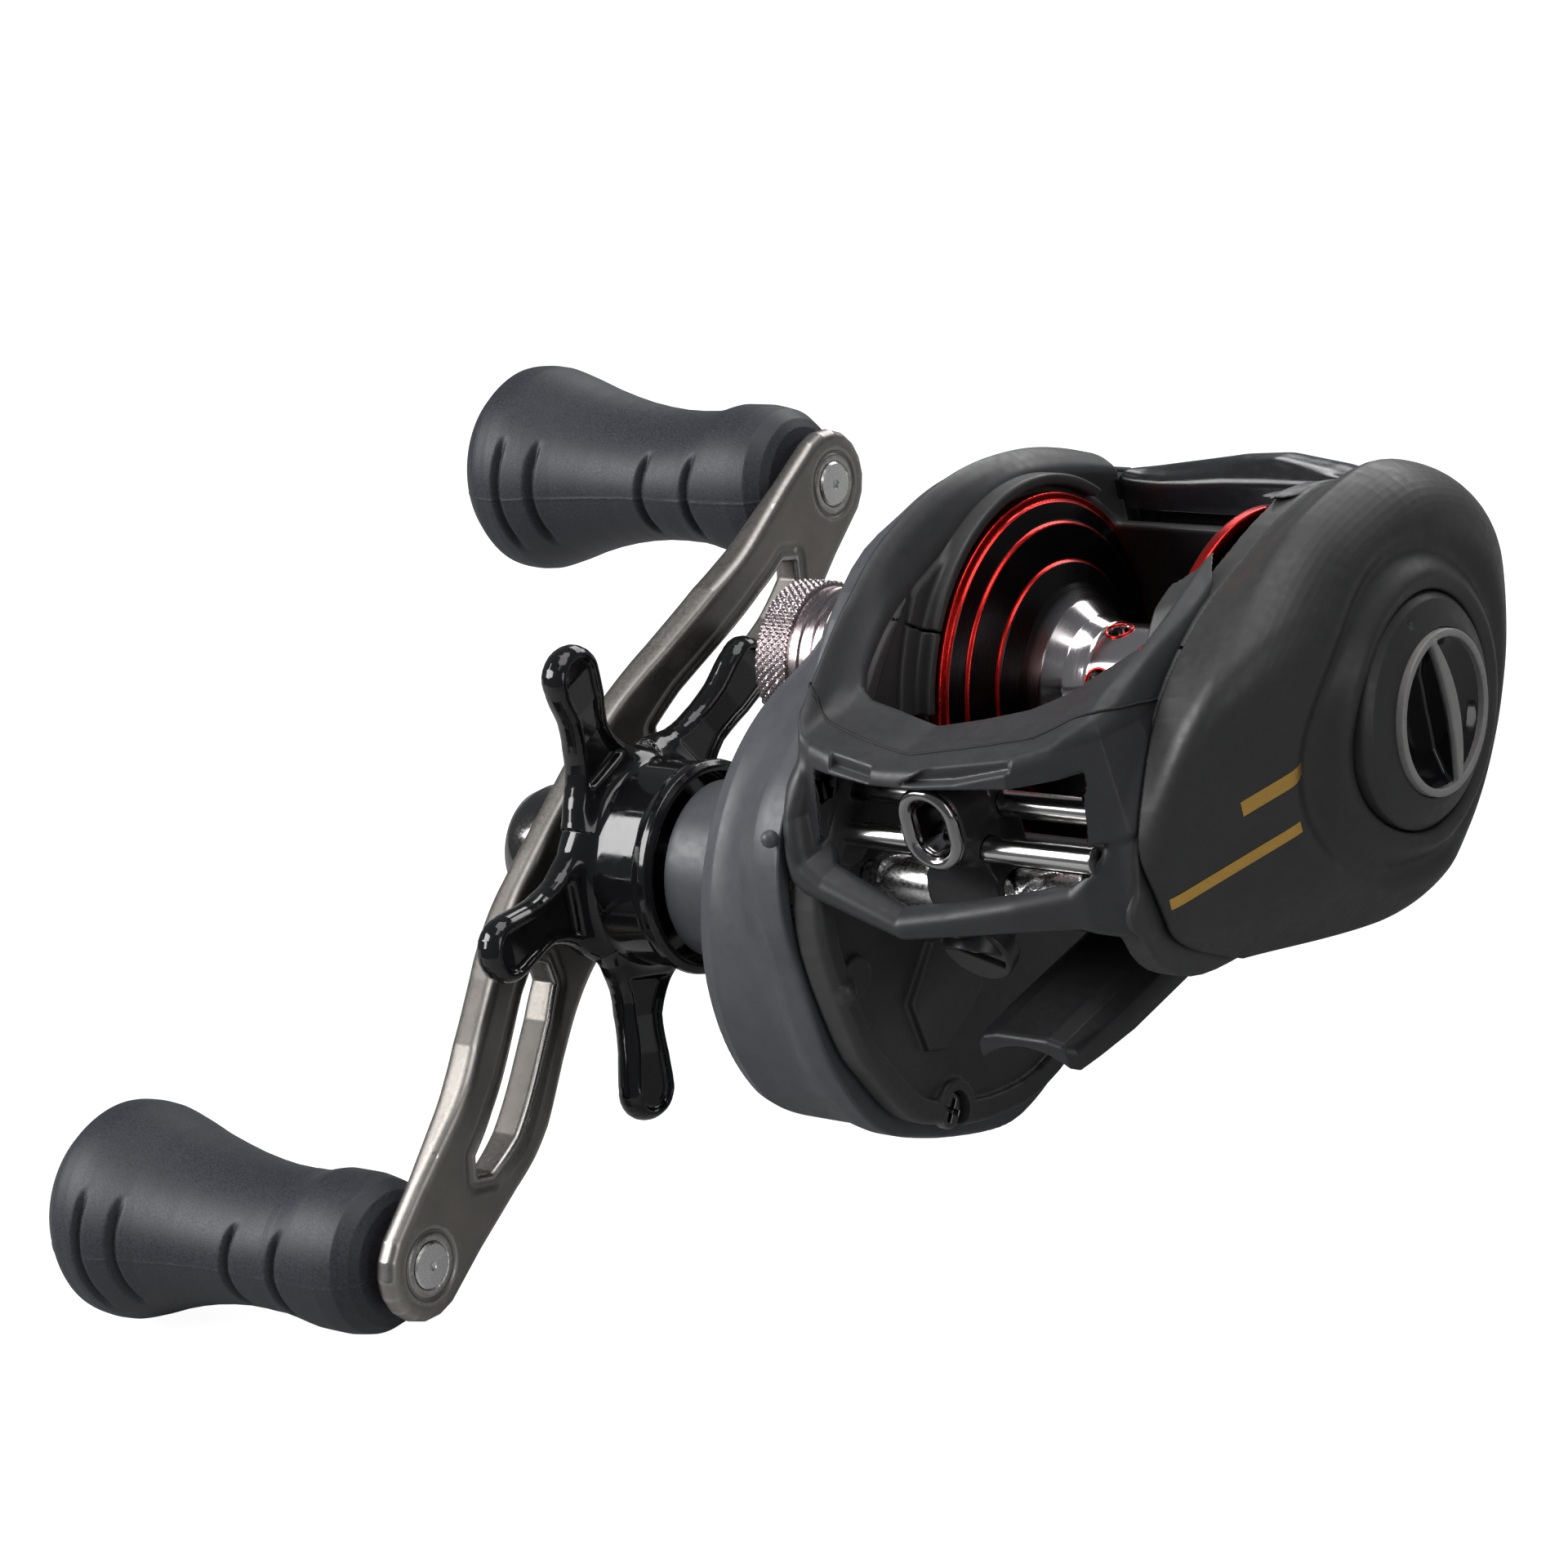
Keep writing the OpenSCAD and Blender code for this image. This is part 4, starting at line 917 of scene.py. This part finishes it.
# ---- Turned pieces built straight from a profile --------------------------------------------
def lathe(name, pts, finish, c=(0.0, 0.0), n=256, relief=None, fine=0.0, body="body", node=None):
    """Closed profile of (radius, x) points turned about an axis along X, with optional relief(x, angle)."""
    pts = [np.array(q, float) for q in pts]
    if fine:
        dense = []
        for a, b in zip(pts, pts[1:] + pts[:1]):
            k = max(1, int(np.ceil(np.linalg.norm(b - a) / fine)))
            dense += [a + (b - a) * i / k for i in range(k)]
        pts = dense
    prof = np.array(pts)
    ang = np.linspace(0, 2 * np.pi, n, endpoint=False)
    rad = np.repeat(prof[:, 0][:, None], n, 1)
    xx = np.repeat(prof[:, 1][:, None], n, 1)
    if relief:
        rad = rad + relief(xx, np.repeat(ang[None], len(prof), 0), rad)
    co = np.stack([xx, c[0] + rad * np.cos(ang), c[1] + rad * np.sin(ang)], -1).reshape(-1, 3)
    i = np.arange(len(prof))[:, None] * n
    j = (np.arange(len(prof))[:, None] + 1) % len(prof) * n
    k = np.arange(n)[None]
    k2 = (k + 1) % n
    faces = np.stack([i + k, i + k2, j + k2, j + k], -1).reshape(-1, 4)
    area = sum(a[1] * b[0] - a[0] * b[1] for a, b in zip(pts, pts[1:] + pts[:1]))
    if area > 0:
        faces = faces[:, ::-1]
    ob = add_mesh(name, co, faces, None, finish)
    edge = ob.modifiers.new("edges", "EDGE_SPLIT")
    edge.split_angle = np.radians(38)
    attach(ob, body)
    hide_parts(node)
    return ob


def ridge(s):
    """Triangle wave between 0 and 1, once per unit of s."""
    return np.abs(2 * (s % 1) - 1)


def knurl(x, a, rad):
    """Crossed V grooves on the gripping band of the tension knob."""
    lead = (x + 45.4) / 0.92
    turns = a / (2 * np.pi) * 62
    h = 0.30 * (1 - np.maximum(ridge(turns + lead), ridge(turns - lead)))
    band = step(x, -45.1, -44.8) * (1 - step(x, -40.75, -40.55)) * (rad > 7.5)
    return (np.minimum(h, 0.24) - 0.12) * band


def worm_thread(x, a, rad):
    """Two crossed helical grooves that carry the pawl to and fro."""
    lead = x / 9.0
    turn = a / (2 * np.pi)
    near = 9.0 * np.minimum(0.5 - 0.5 * ridge(turn + lead), 0.5 - 0.5 * ridge(lead - turn))
    cut_depth = 1 - near / 0.75
    return -0.75 * np.clip(cut_depth * 1.6, 0, 1) * (np.abs(x) < 12.5) * (rad > 2.3)


def ring_tube(points, radius, sides=10, closed=True):
    """Round tube along a closed or open run of points."""
    pts = np.asarray(points, float)
    n = len(pts)
    nxt = np.roll(pts, -1, 0)
    prv = np.roll(pts, 1, 0)
    if not closed:
        nxt[-1], prv[0] = pts[-1], pts[0]
    tan = nxt - prv
    tan /= np.linalg.norm(tan, axis=1, keepdims=True)
    ref = np.array([0.3, 0.2, 0.93])
    side = np.cross(tan, ref)
    side /= np.linalg.norm(side, axis=1, keepdims=True)
    up = np.cross(side, tan)
    ang = np.linspace(0, 2 * np.pi, sides, endpoint=False)
    co = pts[:, None] + radius * (np.cos(ang)[None, :, None] * side[:, None] + np.sin(ang)[None, :, None] * up[:, None])
    co = co.reshape(-1, 3)
    rows = n if closed else n - 1
    i = np.arange(rows)[:, None] * sides
    j = (np.arange(rows)[:, None] + 1) % n * sides
    k = np.arange(sides)[None]
    k2 = (k + 1) % sides
    faces = np.stack([i + k, i + k2, j + k2, j + k], -1).reshape(-1, 4)
    return co, faces


# ---- Build everything -----------------------------------------------------------------------
def build_shells():
    shell_piece("palm_shell", palm_field, (16, -37, -22), (32, 31, 24), "palm", "palm_cover")
    shell_piece("front_shell", front_field, (-19.5, -43.5, -10), (18.5, 24, 25.5), "frame", "front_cover")
    # the case finish is partly painted light
    shell_piece("case_shell", case_field, (-50, -43, -45), (-17, 25, 25), "case", "gear_cover")
    shell_piece("frame_core", frame_field, (-19, -43, -45), (18.5, 28, 24.5), "inner", "main_frame")
    # the foot finish carries painted shade
    shell_piece("foot_shell", foot_field, (-9, -34, -30), (9, 28, -21), "foot", "reel_foot")


def build_crank():
    shell_piece("star_shell", star_field, (-66, -45, -49), (-50, 16, 12), "gloss", "star_wheel", "star")
    shell_piece("arm_shell", arm_field, (-73, -68, -48), (-60, 39, 12), "arm", "crank_arm", "crank")
    a = np.radians(26.2)
    for side, name, node, body in ((1, "grip_upper", "knob_a", "grip_a"), (-1, "grip_lower", "knob_b", "grip_b")):
        c = np.array((DRIVE[0], DRIVE[1])) + side * ARM_REACH * np.array((np.cos(a), np.sin(a)))
        shell_piece(name, knob_field(side), (-112, c[0] - 14, c[1] - 14), (-65, c[0] + 14, c[1] + 14), "grip", node, body)
        rivet = [(0, -106.6), (2, -106.6), (2, -62.25), (2.5, -62.2), (2.5, -61.45), (2.3, -61.25), (0.55, -61.2), (0.35, -61.35),
                 (0, -61.4)]
        lathe("rivet_" + name, rivet, "turned", c, 96, body="crank", node="knob_spindles")
        lathe("neck_" + name, [(2.1, -67.2), (3.4, -67.2), (3.4, -64.4), (2.1, -64.4)], "dark", c, 96, body="crank",
              node="knob_bushings")
    cap = [(0, -77.6), (2.4, -77.4), (4.6, -76.8), (6.2, -75.6), (7, -73.8), (7, -70.55), (5.7, -70.5), (5.7, -74.4), (0, -74.4)]
    lathe("nut_cap_shell", cap, "dark", DRIVE, 160, body="crank", node="nut_cap")
    knob = [(0, -45.4), (6.4, -45.4), (7.4, -45.0), (7.9, -44.7), (8.2, -44.4), (8.2, -40.7), (7.75, -40.5), (7.7, -39.5),
            (7.45, -39.3), (7.45, -38.9), (7.75, -38.7), (7.75, -37.9), (7.5, -37.7), (7.5, -37.4), (8.05, -37.2), (8.05, -36.4),
            (7.8, -36.1), (6.4, -36.1), (6.4, -41.2), (3.6, -41.2), (3.6, -44), (0, -44)]
    lathe("tension_shell", knob, "knob", n=900, relief=knurl, fine=0.14, body="tension", node="tension_knob")


def build_middle():
    shell_piece("spool_shell", spool_field, (-14.5, -19.5, -19.5), (14.5, 19.5, 19.5), "spool", "spool", "spool_unit",
                voxel=VOXEL * 0.9)
    a = np.linspace(0, 2 * np.pi, 40, endpoint=False)
    for x0, turn in ((-2.6, 90), (2.6, 120)):
        for k in range(6):
            t = np.radians(turn + 60 * k)
            out, side = np.array([0, np.cos(t), np.sin(t)]), np.array([0, -np.sin(t), np.cos(t)])
            rim = [np.array([x0 + 1.42 * np.cos(b), 0, 0]) + out * np.sqrt(6.3 ** 2 - (1.42 * np.sin(b)) ** 2)
                   + side * 1.42 * np.sin(b) for b in a]
            co, faces = ring_tube(rim, 0.16)
            ob = add_mesh("hole_rim_%d_%d" % (x0 > 0, k), co, faces, None, "red")
            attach(ob, "spool_unit")
    shell_piece("carriage_shell", carriage_field, (-8, -39, -14), (4, -26, 9), "guide", "line_guide", "guide",
                voxel=VOXEL * 0.6)
    shell_piece("eye_ring_shell", eye_ring_field, (-7, -39, -1), (3, -32, 11), "eye", "guide_insert", "guide",
                voxel=VOXEL * 0.5)
    shell_piece("pawl_cap_shell", pawl_cap_field, (-7, -39, -16), (3, -29, -7), "guide", "pawl_cap", "guide",
                voxel=VOXEL * 0.6)
    worm = [(0, -22.4), (1.5, -22.4), (1.5, -13.6), (2.5, -13.5), (2.5, 13.5), (1.5, 13.6), (1.5, 17.8), (0, 17.8)]
    lathe("worm_shell", worm, "turned", WORM, 128, worm_thread, 0.2, "worm", "worm_shaft")
    for name, c, end in (("rod_low", ROD_LOW, 14.5), ("rod_high", ROD_HIGH, 16.8)):
        rod = [(0, -16.6), (1.2, -16.6), (1.3, -16.5), (1.3, end - 0.1), (1.2, end), (0, end)]
        lathe(name, rod, "steel", c, 128, node="guide_rods")
    shell_piece("thumb_shell", thumb_field, (-17, 19.5, 7.5), (15, 30, 16), "thumb", "thumb_bar", "thumb")


def build_dial():
    fine = VOXEL * 0.75
    shell_piece("dial_bowl", dial_field, (24, -9, -9), (34.5, 9, 9), "gloss", "brake_dial", "dial", voxel=fine)
    shell_piece("dial_grip", dial_ring_field, (27, -9, -9), (34.5, 9, 9), "dialring", "brake_dial", "dial", voxel=fine)
    shell_piece("bezel_shell", bezel_field, (27, -12.5, -12.5), (34, 12.5, 12.5), "palm", "dial_bezel", voxel=fine)


def build_screws():
    for k, c in enumerate(CASE_SCREWS):
        def screw(p, c=c):
            x, y, z = p.T
            r = np.hypot(y - c[0], z - c[1])
            d = smax(r - 1.95, np.abs(x + 15.6) - 0.6, 0.35)
            d = np.minimum(d, np.maximum(r - 1.1, np.abs(x + 20) - 4))
            u, v = (y - c[0] + z - c[1]) * 0.7071, (y - c[0] - z + c[1]) * 0.7071
            cross = np.minimum(np.maximum(np.abs(u) - 1.25, np.abs(v) - 0.27), np.maximum(np.abs(v) - 1.25, np.abs(u) - 0.27))
            return cut(d, np.maximum(cross, -15.75 - x), 0.12)
        shell_piece("case_screw_%d" % k, screw, (-24.2, c[0] - 2.2, c[1] - 2.2), (-14.8, c[0] + 2.2, c[1] + 2.2), "dark",
                    "case_screws", voxel=VOXEL * 0.5)


build_shells()
build_crank()
build_middle()
build_dial()
build_screws()

NODE_MATERIAL = {
    "foot_screws": "dark", "spool_shaft": "turned", "spool_pin": "turned", "crank_end_bearing": "turned",
    "palm_end_bearing": "turned", "tension_shim": "bronze", "pinion_gear": "bronze", "clutch_yoke": "turned",
    "yoke_posts": "turned", "clutch_cam": "inner", "drive_shaft": "turned", "drive_inner_bearing": "turned",
    "drive_outer_bearing": "turned", "ratchet_wheel": "turned", "level_drive_gear": "nylon", "main_gear": "bronze",
    "drag_washers": "carbon", "roller_sleeve": "turned", "roller_clutch": "turned", "spring_washers": "turned",
    "crank_nut": "turned", "worm_gear": "nylon", "worm_bushing": "bronze", "worm_pawl": "bronze",
    "magnet_holder": "inner", "brake_magnets": "turned",
}
for node, finish in NODE_MATERIAL.items():
    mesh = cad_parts[node].data
    mesh.materials.clear()
    mesh.materials.append(MAT[finish])


# ---- Generic marks in place of the lettering ------------------------------------------------
def mark(name, centre, along, up, length, height, field):
    """A thin raised bar of gold print lying on a shell's surface."""
    along, up = np.array(along, float), np.array(up, float)
    along /= np.linalg.norm(along)
    n = 24
    u = np.linspace(-length / 2, length / 2, n)
    rows = []
    for v in (-height / 2, height / 2):
        pts = np.array(centre) + u[:, None] * along + v * up
        for _ in range(6):
            pts = pts - project(field, pts, 3.0)
        rows.append(pts)
    normal = gradient(field, rows[0], 0.2)
    normal /= np.linalg.norm(normal, axis=1, keepdims=True)
    top = [r + 0.05 * normal for r in rows]
    low = [r - 0.25 * normal for r in rows]
    ring = np.stack([low[0], low[1], top[1], top[0]], 1)
    co = ring.reshape(-1, 3)
    faces = []
    for i in range(n - 1):
        for k in range(4):
            k2 = (k + 1) % 4
            faces.append((4 * i + k, 4 * i + k2, 4 * i + 4 + k2, 4 * i + 4 + k))
    faces.append((3, 2, 1, 0))
    faces.append((4 * n - 4, 4 * n - 3, 4 * n - 2, 4 * n - 1))
    ob = add_mesh(name, co, faces, None, "gold")
    ob.data.polygons.foreach_set("use_smooth", np.zeros(len(faces), bool))
    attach(ob, "body")
    return ob


HOOD_SEAM = [(-17.1, -30, 16.1), (-17.2, -30.5, 13.6), (-15.3, -31.8, 12.0), (-10.1, -33.4, 11.4), (-3.3, -35, 10.7),
             (3, -33.5, 11.4), (9, -32, 12.0), (14.4, -29, 13.2), (17.3, -22.5, 12.0)]
CASE_TICKS = [(-13.5, 20.4), (-16.1, 18.5), (-17.6, 17.1), (-18.6, 16.0)]


def seam(name, points, field, radius):
    """A hairline joint: a thin dark tube sunk to its middle in a shell's surface."""
    pts = []
    for a, b in zip(points, points[1:]):
        a, b = np.array(a, float), np.array(b, float)
        k = int(np.ceil(np.linalg.norm(b - a) / 0.4))
        pts += [a + (b - a) * i / k for i in range(k)]
    pts = np.array(pts)
    for _ in range(6):
        pts = pts - project(field, pts, 3.0)
    co, faces = ring_tube(pts, radius, 8, False)
    caps = [[0, 1, 2, 3, 4, 5, 6, 7], [len(co) - 1 - i for i in range(8)]]
    quads = [(c[0], c[k + 1], c[k + 2], c[k + 3]) for c in caps for k in (0, 2, 4)]
    ob = add_mesh(name, co, np.concatenate([faces, np.array(quads)]), None, "seam")
    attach(ob, "body")


def build_marks():
    along, up = (0.49, 0.86, 0.14), (0.1, -0.12, 0.99)
    mark("palm_bar_long", (23.0, -24.0, -4.6), along, up, 15, 1.2, palm_field)
    mark("palm_bar_short", (25.8, -19.6, 1.6), along, up, 7.5, 1.6, palm_field)
    for k, (y, z) in enumerate(CASE_TICKS):
        mark("case_tick_%d" % k, (-22.0, y, z), (1, 0, 0), (0, 0.7, 0.7), 1.3, 0.45, case_field)
    seam("hood_seam", HOOD_SEAM, front_field, 0.16)


build_marks()


# ---- Studio ---------------------------------------------------------------------------------
def studio():
    scene = bpy.context.scene
    scene.view_settings.view_transform = "Standard"
    world = bpy.data.worlds.new("studio")
    scene.world = world
    world.use_nodes = True
    tree = world.node_tree
    out = tree.nodes["World Output"]
    soft = tree.nodes["Background"]
    soft.inputs["Color"].default_value = rgb(0.9, 0.95, 1.0)
    soft.inputs["Strength"].default_value = 0.16
    white = tree.nodes.new("ShaderNodeBackground")
    white.inputs["Strength"].default_value = 1.0
    pick = tree.nodes.new("ShaderNodeMixShader")
    path = tree.nodes.new("ShaderNodeLightPath")
    tree.links.new(path.outputs["Is Camera Ray"], pick.inputs[0])
    tree.links.new(soft.outputs[0], pick.inputs[1])
    tree.links.new(white.outputs[0], pick.inputs[2])
    tree.links.new(pick.outputs[0], out.inputs["Surface"])

    lo, hi = cad_bounds
    floor_z = lo[2] - 0.0005
    half = 3.0
    floor = add_mesh("floor", np.array([(-half, -half, floor_z), (half, -half, floor_z), (half, half, floor_z),
                                        (-half, half, floor_z)]) / MM, [(0, 1, 2, 3)])
    s = Shader("floor_paper")
    s.put(s.bsdf.inputs["Base Color"], s.mix(s.noise(40, 4.0), rgb(0.28, 0.28, 0.28), rgb(0.31, 0.31, 0.31)))
    s.put(s.bsdf.inputs["Roughness"], 0.75)
    s.bump(s.noise(900, 3.0), 0.1, 0.0001)
    seen = s.node("ShaderNodeLightPath").outputs["Is Camera Ray"]
    s.put(s.bsdf.inputs["Emission Color"], rgb(1.0, 1.0, 1.0))
    s.put(s.bsdf.inputs["Emission Strength"], s.math("MULTIPLY", seen, 0.95))
    floor.data.materials.append(s.mat)

    def softbox(name, toward, distance, size, power, colour=(1, 1, 1)):
        light = bpy.data.lights.new(name, "AREA")
        light.shape = "RECTANGLE"
        light.size, light.size_y = size
        light.energy = power
        light.color = colour
        ob = bpy.data.objects.new(name, light)
        toward = Vector(toward).normalized()
        ob.location = Vector((-0.02, -0.01, 0)) + toward * distance
        ob.rotation_mode = "QUATERNION"
        ob.rotation_quaternion = toward.to_track_quat("Z", "Y")
        scene.collection.objects.link(ob)

    softbox("key", (-0.60, -0.55, 0.62), 0.60, (0.42, 0.30), 4.0)
    softbox("top", (0.15, 0.15, 1.0), 0.60, (0.55, 0.40), 1.9)
    softbox("side", (0.95, -0.30, 0.35), 0.70, (0.22, 0.45), 0.7)
    softbox("back", (-0.1, 1.0, 0.45), 0.60, (0.5, 0.25), 1.5)


def camera():
    """Seen from the palm side and a little above, with the horizon tilted."""
    turn, rise, roll = np.radians(42.2), np.radians(25.0), np.radians(-14.77)
    back = np.array((np.sin(turn) * np.cos(rise), -np.cos(turn) * np.cos(rise), np.sin(rise)))
    right = np.array((np.cos(turn), np.sin(turn), 0))
    up = np.cross(back, right)
    tilted = np.cos(roll) * right + np.sin(roll) * up
    upright = -np.sin(roll) * right + np.cos(roll) * up
    place = (back * 471 - tilted * 37.1 - upright * 9.7) * MM
    cam = bpy.data.cameras.new("camera")
    cam.lens, cam.sensor_width = 107.8, 36
    cam.clip_start, cam.clip_end = 0.01, 20
    ob = bpy.data.objects.new("camera", cam)
    ob.matrix_world = Matrix(((tilted[0], upright[0], back[0], place[0]), (tilted[1], upright[1], back[1], place[1]),
                              (tilted[2], upright[2], back[2], place[2]), (0, 0, 0, 1)))
    bpy.context.scene.collection.objects.link(ob)
    bpy.context.scene.camera = ob


studio()
camera()
pool.shutdown()
